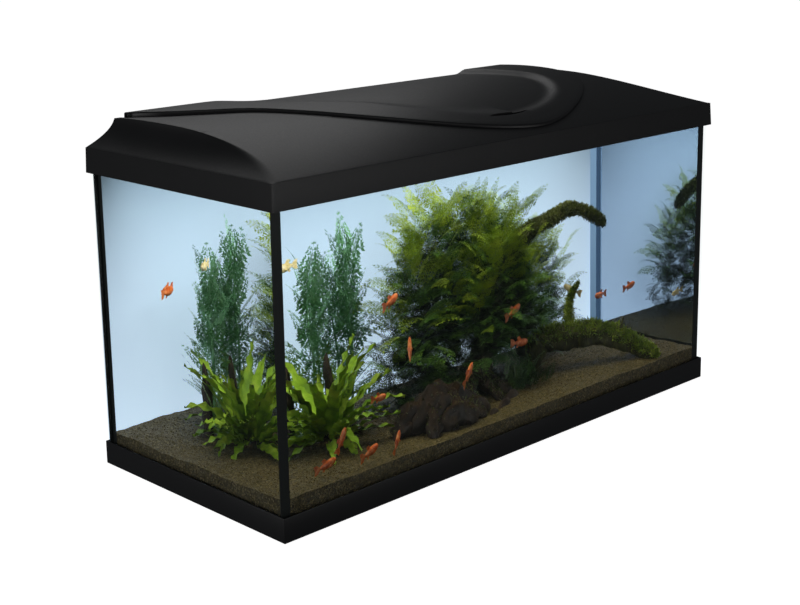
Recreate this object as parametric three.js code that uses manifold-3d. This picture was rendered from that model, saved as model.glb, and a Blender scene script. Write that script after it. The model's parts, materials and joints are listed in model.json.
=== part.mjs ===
// A planted glass aquarium with a low plastic base frame and an arched plastic hood.
// The hood lifts off, and its wavy flap hinges at the rear. Millimetres, +Z up, +X along the length,
// front face towards -Y. The origin is the middle of the footprint, on the surface it stands on.
import * as THREE from 'three';
import { mergeVertices } from 'three/addons/utils/BufferGeometryUtils.js';
import Module from 'manifold-3d';

const wasm = await Module();
wasm.setup();

// ---- driving dimensions ----
const TANK_LENGTH = 800;
const TANK_DEPTH = 350;
const GLASS = 5;
const GLASS_HEIGHT = 392;
const FIT = 0.3;            // clearance between two rigid neighbours
const SILICONE_GAP = 1;     // joint between two panes
const BEAD_LEG = 8;         // silicone bead along an inside corner
const FILM = 0.5;

const FRAME_WALL = 1.5;
const FRAME_HEIGHT = 30;
const LEDGE_WIDTH = 14;
const LEDGE_THICK = 6;
const MAT_THICK = 4;

const BRACE_WIDTH = 36;
const BRACE_DROP = 8;       // top of the glass to the top of a brace

const GRAVEL_DEPTH = 28;

const HOOD_WALL = 2.5;
const HOOD_PLAY = 2.1;      // hood skirt to glass
const SKIRT_OVERLAP = 25;   // how far the skirt reaches down the glass
const SHOULDER_LIFT = 6;    // top of the glass to the top of the skirt
const SKIRT_DRAFT = 1.5;
const SKIRT_BEND = 2.5;     // rounding between the skirt and the top
const ARCH_PEAK_FROM_REAR = 90;
const ARCH_RISE = 35;       // skirt top to the highest line of the arch
const FLARE_INSET = 44;     // how far the end faces lean in
const FLANGE_WIDTH = 10;
const FLANGE_END_WIDTH = 30;
const FLANGE_THICK = 3;
const NOTCH_LENGTH = 80;
const NOTCH_HEIGHT = 20;
const NOTCH_INSET = 80;     // hood end to a notch

const FLAP_WALL = 2.5;
const FLAP_RIM = 5;         // flap top above the hood
const FLAP_TAIL_RIM = 9;    // the same at the rear left
const FLAP_LAP = 9;         // flap past the edge of its opening
const FLAP_INSET = 55.6;    // hood end to the flap's end
const BASIN_DROP = 2;       // basin floor below the hood's arch
const HINGE_BACK = 8.6;     // hood rear face to the hinge axis
const HINGE_DROP = 12;      // highest line of the arch to the hinge axis
const BARREL_RADIUS = 5;
const PIN_RADIUS = 2;
const PIN_LENGTH = 18;
const BRACKET_LENGTH = 9;
const BRACKET_DEPTH = 9;
const BRACKET_HEIGHT = 12;
const REAR_GAP = 7;         // hinge axis to the top of the rear wall
const SLOT_LENGTH = 74;
const SLOT_WIDTH = 12;

const LIGHT_INSET = 64.6;   // hood end to the light housing
const LIGHT_WIDTH = 80;
const LIGHT_HEIGHT = 19;
const LIGHT_WALL = 2;
const LIGHT_FROM_REAR = 95;
const TAB_WIDTH = 50;
const TAB_THICK = 3;
const TAB_INSET = 14.5;     // hood's inner end to a tab
const LENS_THICK = 1.5;
const TUBE_RADIUS = 6;
const TUBE_SPACING = 40;
const SOCKET_LENGTH = 14;
const SOCKET_RADIUS = 7;
const DRIVER = { length: 80, depth: 25, height: 12 };
const SCREW_INSET = 8;      // screw to the flange's inner edge
const SCREW_RADIUS = 1.6;
const SCREW_HEAD_RADIUS = 3;
const SCREW_HEAD_HEIGHT = 1.6;
const GLAND_RADIUS = 4.5;
const GLAND_COLLAR = 6.5;   // radius of the collar inside the wall
const CORD_HOLE_RADIUS = 3;

// ---- places worked out from them ----
const halfL = TANK_LENGTH / 2;
const halfD = TANK_DEPTH / 2;
const matZ = LEDGE_THICK + FIT;
const glassZ = matZ + MAT_THICK + FIT;
const floorZ = glassZ + GLASS;
const glassTop = glassZ + GLASS_HEIGHT;
const gravelTop = floorZ + FIT + GRAVEL_DEPTH;
const hoodX = halfL + HOOD_PLAY + HOOD_WALL;
const hoodY = halfD + HOOD_PLAY + HOOD_WALL;
const skirtZ = glassTop - SKIRT_OVERLAP;
const shoulderZ = glassTop + SHOULDER_LIFT;
const peakZ = shoulderZ + ARCH_RISE;
const peakY = hoodY - ARCH_PEAK_FROM_REAR;
const archRadius = ((peakY + hoodY) ** 2 + ARCH_RISE ** 2) / (2 * ARCH_RISE);
const flangeZ = glassTop + FIT;
const flangeTop = flangeZ + FLANGE_THICK;
const axisY = hoodY - HINGE_BACK;
const axisZ = peakZ - HINGE_DROP;
const flapEnd = hoodX - FLAP_INSET;
const flapRear = axisY + BARREL_RADIUS;
const rearWallTop = axisZ - REAR_GAP;
const lightY = hoodY - LIGHT_FROM_REAR;
const lightZ = flangeTop + FIT;
const glandZ = flangeTop + FIT + GLAND_COLLAR;
const far = 2 * TANK_LENGTH;

// ---- materials ----
const material = (color, roughness, metalness = 0, extra = {}) =>
  new THREE.MeshStandardMaterial({ color, roughness, metalness, ...extra });
const blackPlastic = material(0x141416, 0.38);
const glass = material(0xd5e8e6, 0.05, 0, { transparent: true, opacity: 0.3 });
const silicone = material(0x0c0d0e, 0.5);
const foam = material(0x2b2c2e, 0.9);
const filmBlue = material(0x9cc0d8, 0.7);
const gravelBrown = material(0x3a2f25, 0.95);
const wood = material(0x2e2118, 0.85);
const leaf = material(0x4d8a2c, 0.6);
const darkLeaf = material(0x35602c, 0.6);
const steel = material(0xb9bcc0, 0.3, 0.9);
const aluminium = material(0xd0d3d6, 0.25, 0.9);
const whitePlastic = material(0xe6e6e2, 0.5);
const lampGlass = material(0xf6f8f5, 0.3);
const clearPlastic = material(0xe8eef0, 0.1, 0, { transparent: true, opacity: 0.4 });
const rubber = material(0x1b1b1b, 0.8);

const group = new THREE.Group();
group.name = 'planted_aquarium';

// ---- shape helpers ----
function part(name, geometry, mat, x = 0, y = 0, z = 0, parent = group) {
  const mesh = new THREE.Mesh(geometry, mat);
  mesh.name = name;
  mesh.position.set(x, y, z);
  parent.add(mesh);
  return mesh;
}

function box(x0, x1, y0, y1, z0, z1) {
  const geometry = new THREE.BoxGeometry(x1 - x0, y1 - y0, z1 - z0);
  return geometry.translate((x0 + x1) / 2, (y0 + y1) / 2, (z0 + z1) / 2);
}

function shapeOf(points) {
  return new THREE.Shape(points.map(([a, b]) => new THREE.Vector2(a, b)));
}

// A plan outline extruded upward.
function prismZ(points, z0, z1) {
  const geometry = new THREE.ExtrudeGeometry(shapeOf(points), { depth: z1 - z0, bevelEnabled: false });
  return geometry.translate(0, 0, z0);
}

// An outline in Y and Z extruded along X.
function prismX(points, x0, x1) {
  const geometry = new THREE.ExtrudeGeometry(shapeOf(points), { depth: x1 - x0, bevelEnabled: false });
  const turn = new THREE.Matrix4().makeBasis(
    new THREE.Vector3(0, 1, 0), new THREE.Vector3(0, 0, 1), new THREE.Vector3(1, 0, 0));
  return geometry.applyMatrix4(turn).translate(x0, 0, 0);
}

// An outline in X and Z extruded along Y.
function prismY(points, y0, y1) {
  const flipped = points.map(([x, z]) => [z, x]);
  const geometry = new THREE.ExtrudeGeometry(shapeOf(flipped), { depth: y1 - y0, bevelEnabled: false });
  const turn = new THREE.Matrix4().makeBasis(
    new THREE.Vector3(0, 0, 1), new THREE.Vector3(1, 0, 0), new THREE.Vector3(0, 1, 0));
  return geometry.applyMatrix4(turn).translate(0, y0, 0);
}

function rodX(radius, length, x, y, z, sides = 16) {
  const geometry = new THREE.CylinderGeometry(radius, radius, length, sides);
  return geometry.rotateZ(Math.PI / 2).translate(x, y, z);
}

function rodY(radius, length, x, y, z, sides = 16) {
  return new THREE.CylinderGeometry(radius, radius, length, sides).translate(x, y, z);
}

function toSolid(geometry) {
  const bare = geometry.clone();
  bare.deleteAttribute('normal');
  bare.deleteAttribute('uv');
  const merged = mergeVertices(bare, 1e-4);
  return new wasm.Manifold(new wasm.Mesh({
    numProp: 3,
    vertProperties: new Float32Array(merged.attributes.position.array),
    triVerts: new Uint32Array(merged.index.array),
  }));
}

function toGeometry(solid) {
  const mesh = solid.getMesh();
  const geometry = new THREE.BufferGeometry();
  geometry.setAttribute('position', new THREE.BufferAttribute(new Float32Array(mesh.vertProperties), 3));
  geometry.setIndex(new THREE.BufferAttribute(new Uint32Array(mesh.triVerts), 1));
  geometry.computeVertexNormals();
  return geometry;
}

const cut = (geometry, ...tools) =>
  toGeometry(tools.reduce((solid, tool) => solid.subtract(toSolid(tool)), toSolid(geometry)));
const join = (geometry, ...others) =>
  toGeometry(others.reduce((solid, other) => solid.add(toSolid(other)), toSolid(geometry)));
const overlap = (geometry, other) => toGeometry(toSolid(geometry).intersect(toSolid(other)));

// A closed skin through rings that all have the same number of points.
function loft(rings) {
  const count = rings[0].length;
  const positions = rings.flat(2);
  const index = [];
  for (let i = 0; i < rings.length - 1; i++) {
    for (let j = 0; j < count; j++) {
      const a = i * count + j;
      const b = i * count + ((j + 1) % count);
      index.push(a, b, b + count, a, b + count, a + count);
    }
  }
  const capped = (ring, reverse) => {
    const flat = rings[ring].map(([, y, z]) => new THREE.Vector2(y, z));
    for (const [a, b, c] of THREE.ShapeUtils.triangulateShape(flat, [])) {
      const face = [a, b, c].map((k) => k + ring * count);
      index.push(...(reverse ? face.reverse() : face));
    }
  };
  capped(0, true);
  capped(rings.length - 1, false);
  const geometry = new THREE.BufferGeometry();
  geometry.setAttribute('position', new THREE.Float32BufferAttribute(positions, 3));
  geometry.setIndex(index);
  geometry.computeVertexNormals();
  return geometry;
}

// A tapering limb: short tubes with round joints along a list of [x, y, z, radius].
function limb(points) {
  const SIDES = 10;
  const pieces = [];
  for (let i = 0; i < points.length - 1; i++) {
    const a = new THREE.Vector3(...points[i]);
    const b = new THREE.Vector3(...points[i + 1]);
    const along = b.clone().sub(a);
    const tube = new THREE.CylinderGeometry(points[i + 1][3], points[i][3], along.length(), SIDES);
    const turn = new THREE.Quaternion().setFromUnitVectors(
      new THREE.Vector3(0, 1, 0), along.clone().normalize());
    tube.applyQuaternion(turn).translate(...a.clone().lerp(b, 0.5));
    pieces.push(tube);
    if (i > 0) pieces.push(new THREE.SphereGeometry(points[i][3], SIDES, 6).translate(...a));
  }
  return pieces;
}

// A round-topped mound standing on z = base.
function mound(x, y, base, rx, ry, height, sides = 14) {
  const STEPS = 5;
  const profile = [[0, 0]];
  for (let i = 0; i <= STEPS; i++) {
    const angle = (i / STEPS) * Math.PI / 2;
    profile.push([Math.cos(angle), Math.sin(angle)]);
  }
  profile[profile.length - 1][0] = 0;
  const lathe = new THREE.LatheGeometry(profile.map(([r, z]) => new THREE.Vector2(r, z)), sides);
  return lathe.rotateX(Math.PI / 2).scale(rx, ry, height).translate(x, y, base);
}

// ---- base frame and mat ----
function addBase() {
  const wall = FIT + FRAME_WALL;
  const outer = box(-halfL - wall, halfL + wall, -halfD - wall, halfD + wall, 0, FRAME_HEIGHT);
  const seat = box(-halfL - FIT, halfL + FIT, -halfD - FIT, halfD + FIT, LEDGE_THICK, far);
  const ledgeX = halfL - LEDGE_WIDTH;
  const ledgeY = halfD - LEDGE_WIDTH;
  const window = box(-ledgeX, ledgeX, -ledgeY, ledgeY, -1, far);
  part('base_frame', cut(outer, seat, window), blackPlastic);
  part('foam_mat', box(-halfL, halfL, -halfD, halfD, matZ, matZ + MAT_THICK), foam);
}

// ---- glass box ----
const sideEnd = halfD - GLASS - SILICONE_GAP;   // where the end panes stop short of the long panes

function addGlass() {
  const innerX = halfL - GLASS - SILICONE_GAP;
  part('bottom_pane', box(-innerX, innerX, -sideEnd, sideEnd, glassZ, floorZ), glass);
  part('front_pane', box(-halfL, halfL, -halfD, -halfD + GLASS, glassZ, glassTop), glass);
  part('back_pane', box(-halfL, halfL, halfD - GLASS, halfD, glassZ, glassTop), glass);
  part('left_pane', box(-halfL, -halfL + GLASS, -sideEnd, sideEnd, glassZ, glassTop), glass);
  part('right_pane', box(halfL - GLASS, halfL, -sideEnd, sideEnd, glassZ, glassTop), glass);
  const braceTop = glassTop - BRACE_DROP;
  const braceX = innerX - BEAD_LEG;
  const braceOut = halfD - GLASS - FIT;
  const braceIn = braceOut - BRACE_WIDTH;
  part('front_brace', box(-braceX, braceX, -braceOut, -braceIn, braceTop - GLASS, braceTop), glass);
  part('back_brace', box(-braceX, braceX, braceIn, braceOut, braceTop - GLASS, braceTop), glass);
  const filmZ = FRAME_HEIGHT + FIT;
  const filmY = halfD + FIT;
  part('background_film', box(-halfL + 3, halfL - 3, filmY, filmY + FILM, filmZ, glassTop - 3), filmBlue);
}

// A vertical bead in an inside corner, with the thin layer between the two panes.
function cornerBead(sx, sy) {
  const gap = SILICONE_GAP / 5;
  const wallX = halfL - GLASS - gap;
  const wallY = halfD - GLASS - gap;
  const layer = sideEnd + gap;
  const points = [
    [halfL, layer], [halfL, wallY], [wallX - BEAD_LEG, wallY], [wallX, wallY - BEAD_LEG], [wallX, layer],
  ];
  const outline = points.map(([x, y]) => [sx * x, sy * y]);
  return prismZ(outline, floorZ + BEAD_LEG + 2 * FIT, glassTop - 1);
}

function addSilicone() {
  for (const [sy, depth] of [[-1, 'front'], [1, 'back']]) {
    for (const [sx, side] of [[-1, 'left'], [1, 'right']]) {
      part(`bead_${depth}_${side}`, cornerBead(sx, sy), silicone);
    }
  }
  const gap = SILICONE_GAP / 5;
  const x = halfL - GLASS - gap;
  const y = halfD - GLASS - SILICONE_GAP - gap;
  const z = floorZ + gap;
  const ring = box(-x, x, -y, y, z, z + BEAD_LEG);
  const inside = box(-x + BEAD_LEG, x - BEAD_LEG, -y + BEAD_LEG, y - BEAD_LEG, 0, far);
  part('bead_floor', cut(ring, inside), silicone);
}

// ---- what stands in the tank ----
// A place in the planting plan, in shares of the half length and half depth, that the planting fills.
const spot = (u, v) => [u * halfL, v * halfD];

// A piece of wood through points of [u, v, height above the gravel, radius].
const grown = (ground, points) => limb(points.map(([u, v, z, r]) => [...spot(u, v), ground + z, r]));

function plant(name, u, v, ru, rv, height, mat) {
  part(name, mound(...spot(u, v), gravelTop + FIT, ...spot(ru, rv), height), mat);
}

function addScape() {
  const x = halfL - GLASS - SILICONE_GAP - BEAD_LEG - FIT;
  const y = sideEnd - BEAD_LEG - 2 * FIT;
  part('gravel_bed', box(-x, x, -y, y, floorZ + FIT, gravelTop), gravelBrown);
  const ground = gravelTop + FIT;
  const trunk = grown(ground, [[0.05, -0.03, 0, 26], [0.05, -0.03, 24, 24], [0.12, 0, 58, 20],
    [0.24, 0.086, 132, 15], [0.37, 0.143, 224, 11]]);
  const upper = grown(ground, [[0.335, 0.125, 195, 12], [0.475, 0.177, 196, 10], [0.6125, 0.16, 212, 10],
    [0.8, 0.137, 182, 6]]);
  part('driftwood_upright', join(...trunk, ...upper), wood);
  const low = grown(ground, [[0.39, -0.02, 0, 14], [0.39, -0.02, 44, 15], [0.5, -0.17, 45, 17],
    [0.62, -0.34, 42, 16], [0.72, -0.56, 24, 13], [0.765, -0.81, 9.3, 9]]);
  const twig = grown(ground, [[0.5, -0.17, 45, 11], [0.53, -0.06, 84, 9], [0.56, -0.03, 100, 8],
    [0.585, -0.06, 112, 5]]);
  part('driftwood_low_branch', join(...low, ...twig), wood);
  plant('root_lump', -0.238, -0.55, 0.23, 0.34, 58, wood);
  plant('fern', -0.59, 0.03, 0.165, 0.38, 130, leaf);
  plant('stem_plant_left', -0.515, 0.549, 0.06, 0.137, 232, darkLeaf);
  plant('stem_plant_right', -0.38, 0.514, 0.055, 0.137, 250, darkLeaf);
  plant('bush_left', -0.12, 0.389, 0.175, 0.343, 265, leaf);
  plant('bush_right', 0.525, 0.674, 0.23, 0.229, 236, leaf);
  plant('moss_clump', 0.24, -0.26, 0.085, 0.16, 60, darkLeaf);
}

// ---- hood ----
function archZ(y) {
  return peakZ - archRadius + Math.sqrt(archRadius ** 2 - (y - peakY) ** 2);
}

// The hood's section across its depth: skirt, rounded shoulder, arch and upright rear.
function archSection(inset, bottom) {
  const front = -hoodY + SKIRT_DRAFT + inset;
  const points = [[hoodY - inset, bottom], [-hoodY + inset, bottom]];
  const BEND_STEPS = 3;
  const ARCH_STEPS = 14;
  const bendZ = archZ(-hoodY + SKIRT_BEND + SKIRT_DRAFT) - inset;
  for (let i = 0; i < BEND_STEPS; i++) {
    const angle = (i / BEND_STEPS) * Math.PI / 2;
    points.push([front + SKIRT_BEND * (1 - Math.cos(angle)), bendZ - SKIRT_BEND * (1 - Math.sin(angle))]);
  }
  const start = front + SKIRT_BEND;
  for (let i = 0; i <= ARCH_STEPS; i++) {
    const y = start + (hoodY - inset - start) * (i / ARCH_STEPS);
    points.push([y, archZ(y) - inset]);
  }
  return points.reverse();
}

// The hood's section along its length: skirt, then end faces that lean in and steepen.
function endSection(inset, bottom) {
  const half = [[hoodX - inset, bottom]];
  const FLARE_STEPS = 6;
  for (let i = 0; i <= FLARE_STEPS; i++) {
    const t = i / FLARE_STEPS;
    const lean = FLARE_INSET * (1 - (1 - t) ** 2);
    half.push([hoodX - SKIRT_DRAFT - inset - lean, shoulderZ - inset + ARCH_RISE * t]);
  }
  half.push([hoodX - SKIRT_DRAFT - inset - FLARE_INSET, far]);
  return [...half, ...half.map(([x, z]) => [-x, z]).reverse()];
}

function hoodBlock(inset, bottom) {
  const across = prismX(archSection(inset, bottom), -far, far);
  const along = prismY(endSection(inset, bottom), -far, far);
  return overlap(across, along);
}

// The flap's front edge in plan: a wave from the rear left corner to the rear right corner.
function flapEdge(steps) {
  const wave = [[-1, 170], [-0.92, 128], [-0.8, 98], [-0.665, 70], [-0.545, 20], [-0.43, -32], [-0.3, -78],
    [-0.157, -117], [0, -145], [0.143, -157], [0.27, -152], [0.43, -130], [0.66, -84], [0.86, -26],
    [0.955, 40], [0.99, 110], [1, 170]];
  const curve = new THREE.SplineCurve(wave.map(([u, v]) =>
    new THREE.Vector2(u * flapEnd, (v / 170) * (flapRear - BARREL_RADIUS))));
  return curve.getPoints(steps);
}

const smooth = (a, b, v) => {
  const t = Math.min(1, Math.max(0, (v - a) / (b - a)));
  return t * t * (3 - 2 * t);
};

// How far a point lies inside the flap's shallow basin, from 0 on the rim to 1 on the floor.
function basinMask(x, y) {
  const POWER = 1.75;
  const u = x / flapEnd - 0.172;
  const v = y / flapRear - 0.341;
  const reachU = u > 0 ? 0.625 : 0.43 + 0.358 * smooth(0, flapRear, y);
  const reachV = v > 0 ? 2.27 : 0.977;
  const radius = (Math.abs(u) / reachU) ** POWER + (Math.abs(v) / reachV) ** POWER;
  const softness = u > 0 ? 0.12 : 0.45;
  return 1 - smooth(1 - softness, 1 + softness / 4, radius);
}

function flapZ(x, y) {
  const tail = (1 - smooth(-0.67 * flapEnd, -0.4 * flapEnd, x)) * smooth(0, flapRear, y);
  const rim = FLAP_RIM + (FLAP_TAIL_RIM - FLAP_RIM) * tail;
  return archZ(y) + rim - (rim + BASIN_DROP) * basinMask(x, y);
}

// The flap: a thin raised lid with a turned-down lip at the front and the rear, and a hinge barrel.
function flapBody() {
  const EDGE_STEPS = 44;
  const ROWS = 12;
  const LIP = 3;
  const rings = flapEdge(EDGE_STEPS).map(({ x, y: edge }) => {
    const front = Math.min(edge, flapRear - 3 * LIP);
    const lipZ = (y) => archZ(y) + FIT;
    const over = [];
    const under = [];
    for (let i = 0; i <= ROWS; i++) {
      const y = front + (flapRear - front) * (i / ROWS);
      const inner = front + LIP + (flapRear - front - 2 * LIP) * (i / ROWS);
      over.push([x, y, flapZ(x, y)]);
      under.push([x, inner, Math.max(flapZ(x, inner) - FLAP_WALL, archZ(inner) - BASIN_DROP - FLAP_WALL)]);
    }
    const rearLip = [[x, flapRear, axisZ], [x, flapRear - LIP, axisZ]];
    const frontLip = [x, front + LIP, lipZ(front + LIP)];
    return [[x, front, lipZ(front)], ...over, ...rearLip, ...under.reverse(), frontLip].reverse();
  });
  return loft(rings);
}

// A hole with pointed ends, for a finger.
function fingerSlot() {
  const STEPS = 8;
  const bow = SLOT_WIDTH / 2;
  const middle = { x: 0.129 * flapEnd, y: -0.636 * flapRear };
  const edge = (sign) => Array.from({ length: STEPS }, (_, i) => {
    const u = -1 + (2 * i) / STEPS;
    return [middle.x + sign * u * SLOT_LENGTH / 2, middle.y - sign * bow * (1 - u * u)];
  });
  return prismZ([...edge(1), ...edge(-1)], shoulderZ, far);
}

function addHood() {
  const lowCavity = hoodBlock(HOOD_WALL, skirtZ - 1);
  const flangeIn = [hoodX - HOOD_WALL - FLANGE_END_WIDTH, hoodY - HOOD_WALL - FLANGE_WIDTH];
  const ring = cut(box(-hoodX, hoodX, -hoodY, hoodY, flangeZ, flangeTop),
    box(-flangeIn[0], flangeIn[0], -flangeIn[1], flangeIn[1], 0, far));
  const flange = overlap(ring, hoodBlock(HOOD_WALL / 2, skirtZ));
  const shell = join(cut(hoodBlock(0, skirtZ), lowCavity), flange);
  const lapEdge = flapEdge(36).map(({ x, y }) => {
    const s = 1 - FLAP_LAP / flapEnd;
    return [x * s, Math.min(y + FLAP_LAP * (y < 0 ? 1 : 1.6), axisY)];
  });
  const openingX = flapEnd - FLAP_LAP;
  const outline = [...lapEdge, [openingX, flapRear], [-openingX, flapRear]];
  const opening = prismZ(outline, flangeTop + 2 * FIT, far);
  const hingeRoom = box(-flapEnd - 2, flapEnd + 2, axisY - 2 * BARREL_RADIUS, far, rearWallTop, far);
  const tools = [opening, hingeRoom];
  for (const sx of [-1, 1]) {
    const x = sx * (hoodX - NOTCH_INSET - NOTCH_LENGTH / 2);
    tools.push(box(x - NOTCH_LENGTH / 2, x + NOTCH_LENGTH / 2, hoodY - HOOD_WALL - 1, far,
      skirtZ - 1, skirtZ + NOTCH_HEIGHT));
    for (const y of [-1, 1]) tools.push(screwHole(sx, y));
  }
  tools.push(rodY(GLAND_RADIUS + FIT, 3 * HOOD_WALL, 0, hoodY, glandZ));
  part('hood_shell', cut(shell, ...tools), blackPlastic);
}

function addFlap() {
  const pinHole = (sx) => rodX(PIN_RADIUS + FIT, PIN_LENGTH + 2 * FIT, sx * flapEnd, axisY, axisZ);
  const barrel = rodX(BARREL_RADIUS, 2 * flapEnd, 0, axisY, axisZ);
  part('main_flap', cut(join(flapBody(), barrel), fingerSlot(), pinHole(-1), pinHole(1)), blackPlastic);
}

// A bracket on the rear wall at each end of the barrel, and the pin through both.
function addHinges() {
  for (const [sx, side] of [[-1, 'left'], [1, 'right']]) {
    const near = flapEnd + FIT;
    const xs = [sx * near, sx * (near + BRACKET_LENGTH)].sort((a, b) => a - b);
    const rear = hoodY - HOOD_WALL - FIT;
    const block = box(xs[0], xs[1], rear - BRACKET_DEPTH - BARREL_RADIUS, rear,
      axisZ - BRACKET_HEIGHT, axisZ + BARREL_RADIUS - 1);
    const hole = rodX(PIN_RADIUS + FIT, far, 0, axisY, axisZ);
    const room = hoodBlock(HOOD_WALL + FIT, skirtZ);
    part(`hinge_bracket_${side}`, overlap(cut(block, hole), room), blackPlastic);
    part(`hinge_pin_${side}`, rodX(PIN_RADIUS, PIN_LENGTH, 0, 0, 0, 12), steel, sx * flapEnd, axisY, axisZ);
  }
}

// ---- light unit, on the flanges at the hood's ends ----
const screwX = hoodX - HOOD_WALL - FLANGE_END_WIDTH + SCREW_INSET;
const screwY = TAB_WIDTH / 3;

function screwHole(sx, sy) {
  const hole = new THREE.CylinderGeometry(SCREW_RADIUS + FIT, SCREW_RADIUS + FIT, 4 * FLANGE_THICK, 12);
  return hole.rotateX(Math.PI / 2).translate(sx * screwX, lightY + sy * screwY, flangeTop);
}

function addLight() {
  const lamp = new THREE.Group();
  lamp.position.set(0, lightY, lightZ);
  group.add(lamp);
  const halfLen = hoodX - LIGHT_INSET;
  const halfWide = LIGHT_WIDTH / 2;
  const shell = box(-halfLen, halfLen, -halfWide, halfWide, 0, LIGHT_HEIGHT);
  const inside = box(-halfLen + LIGHT_WALL, halfLen - LIGHT_WALL, -halfWide + LIGHT_WALL,
    halfWide - LIGHT_WALL, -1, LIGHT_HEIGHT - LIGHT_WALL);
  const tabEnd = hoodX - HOOD_WALL - TAB_INSET;
  const strip = box(-tabEnd, tabEnd, -TAB_WIDTH / 2, TAB_WIDTH / 2, 0, TAB_THICK);
  const corners = [[-1, -1], [-1, 1], [1, -1], [1, 1]];
  const holes = corners.map(([sx, sy]) => screwHole(sx, sy).translate(0, -lightY, -lightZ));
  const housing = cut(join(shell, strip), inside, ...holes);
  part('light_housing', housing, blackPlastic, 0, 0, 0, lamp);

  const wallIn = halfWide - LIGHT_WALL - FIT;
  const lensTop = FIT + LENS_THICK;
  const lensX = halfLen - LIGHT_WALL - FIT;
  part('light_lens', box(-lensX, lensX, -wallIn, wallIn, FIT, lensTop), clearPlastic, 0, 0, 0, lamp);
  const roof = LIGHT_HEIGHT - LIGHT_WALL - FIT;
  const sheet = 0.8;
  const bent = [[-wallIn, lensTop + FIT], [-wallIn + sheet, lensTop + FIT], [-wallIn + 8, roof - sheet],
    [wallIn - 8, roof - sheet], [wallIn - sheet, lensTop + FIT], [wallIn, lensTop + FIT],
    [wallIn - 8 + sheet, roof], [-wallIn + 8 - sheet, roof]];
  const reflectX = lensX - 1;
  part('reflector', prismX(bent, -reflectX, reflectX), aluminium, 0, 0, 0, lamp);
  const tubeZ = roof - sheet - SOCKET_RADIUS;
  const tubeLen = 2 * (reflectX - SOCKET_LENGTH - 2 * FIT);
  for (const [sy, where] of [[-1, 'front'], [1, 'rear']]) {
    const y = (sy * TUBE_SPACING) / 2;
    part(`tube_${where}`, rodX(TUBE_RADIUS, tubeLen, 0, 0, 0, 12), lampGlass, 0, y, tubeZ, lamp);
    for (const [sx, side] of [[-1, 'left'], [1, 'right']]) {
      const x = sx * (tubeLen / 2 + FIT + SOCKET_LENGTH / 2);
      const cap = rodX(SOCKET_RADIUS - FIT, SOCKET_LENGTH, 0, 0, 0, 12);
      part(`tube_socket_${where}_${side}`, cap, whitePlastic, x, y, tubeZ, lamp);
    }
  }
  const driver = new THREE.BoxGeometry(DRIVER.length, DRIVER.depth, DRIVER.height);
  const driverY = halfWide + FIT + DRIVER.depth / 2;
  part('lamp_driver', driver, blackPlastic, halfLen / 2, driverY, DRIVER.height / 2, lamp);
  for (const [sx, side] of [[-1, 'left'], [1, 'right']]) {
    for (const [sy, where] of [[-1, 'front'], [1, 'rear']]) {
      part(`light_screw_${where}_${side}`, screw(), steel, sx * screwX, sy * screwY, TAB_THICK + FIT, lamp);
    }
  }
}

// A pan-head screw whose head starts at z = 0.
function screw() {
  const shank = -(TAB_THICK + FIT + FLANGE_THICK);
  const profile = [[0, shank], [SCREW_RADIUS, shank], [SCREW_RADIUS, 0], [SCREW_HEAD_RADIUS, 0],
    [SCREW_HEAD_RADIUS, SCREW_HEAD_HEIGHT / 2], [SCREW_HEAD_RADIUS / 2, SCREW_HEAD_HEIGHT],
    [0, SCREW_HEAD_HEIGHT]];
  const lathe = new THREE.LatheGeometry(profile.map(([r, z]) => new THREE.Vector2(r, z)), 12);
  return lathe.rotateX(Math.PI / 2);
}

// A rubber gland in the rear wall, flush outside and with a collar inside.
function addGland() {
  const inner = hoodY - HOOD_WALL - FIT;
  const profile = [[CORD_HOLE_RADIUS, hoodY], [CORD_HOLE_RADIUS, inner - 3], [GLAND_COLLAR, inner - 3],
    [GLAND_COLLAR, inner], [GLAND_RADIUS, inner], [GLAND_RADIUS, hoodY], [CORD_HOLE_RADIUS, hoodY]];
  const lathe = new THREE.LatheGeometry(profile.map(([r, y]) => new THREE.Vector2(r, y)), 20);
  part('cable_gland', lathe, rubber, 0, 0, glandZ);
}

addBase();
addGlass();
addSilicone();
addScape();
addHood();
addFlap();
addHinges();
addLight();
addGland();

export default group;
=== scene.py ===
import json
import random
from math import cos, pi, radians, sin, sqrt

import bmesh
import bpy
import numpy as np
from mathutils import Matrix, Vector, noise


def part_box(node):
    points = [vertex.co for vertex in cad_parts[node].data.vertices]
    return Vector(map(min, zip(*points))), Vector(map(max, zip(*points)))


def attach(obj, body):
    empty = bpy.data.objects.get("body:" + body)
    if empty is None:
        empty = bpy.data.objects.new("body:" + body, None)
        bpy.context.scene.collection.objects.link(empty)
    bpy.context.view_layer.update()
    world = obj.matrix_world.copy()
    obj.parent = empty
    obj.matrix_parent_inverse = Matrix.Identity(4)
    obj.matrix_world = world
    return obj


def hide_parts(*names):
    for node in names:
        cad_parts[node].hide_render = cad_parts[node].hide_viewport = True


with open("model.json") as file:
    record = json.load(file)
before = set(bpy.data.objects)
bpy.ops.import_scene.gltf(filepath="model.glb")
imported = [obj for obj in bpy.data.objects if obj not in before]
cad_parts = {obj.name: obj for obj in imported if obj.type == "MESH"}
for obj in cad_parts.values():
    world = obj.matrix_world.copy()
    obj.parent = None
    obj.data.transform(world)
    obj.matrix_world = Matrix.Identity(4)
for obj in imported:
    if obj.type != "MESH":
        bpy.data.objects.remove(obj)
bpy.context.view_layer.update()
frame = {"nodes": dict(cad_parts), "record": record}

# A planted aquarium with an arched hood. The made pieces are written in millimetres and scaled by MM.
MM = 0.001


def node_box(name):
    low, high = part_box(name)
    return [v / MM for v in low], [v / MM for v in high]


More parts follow.
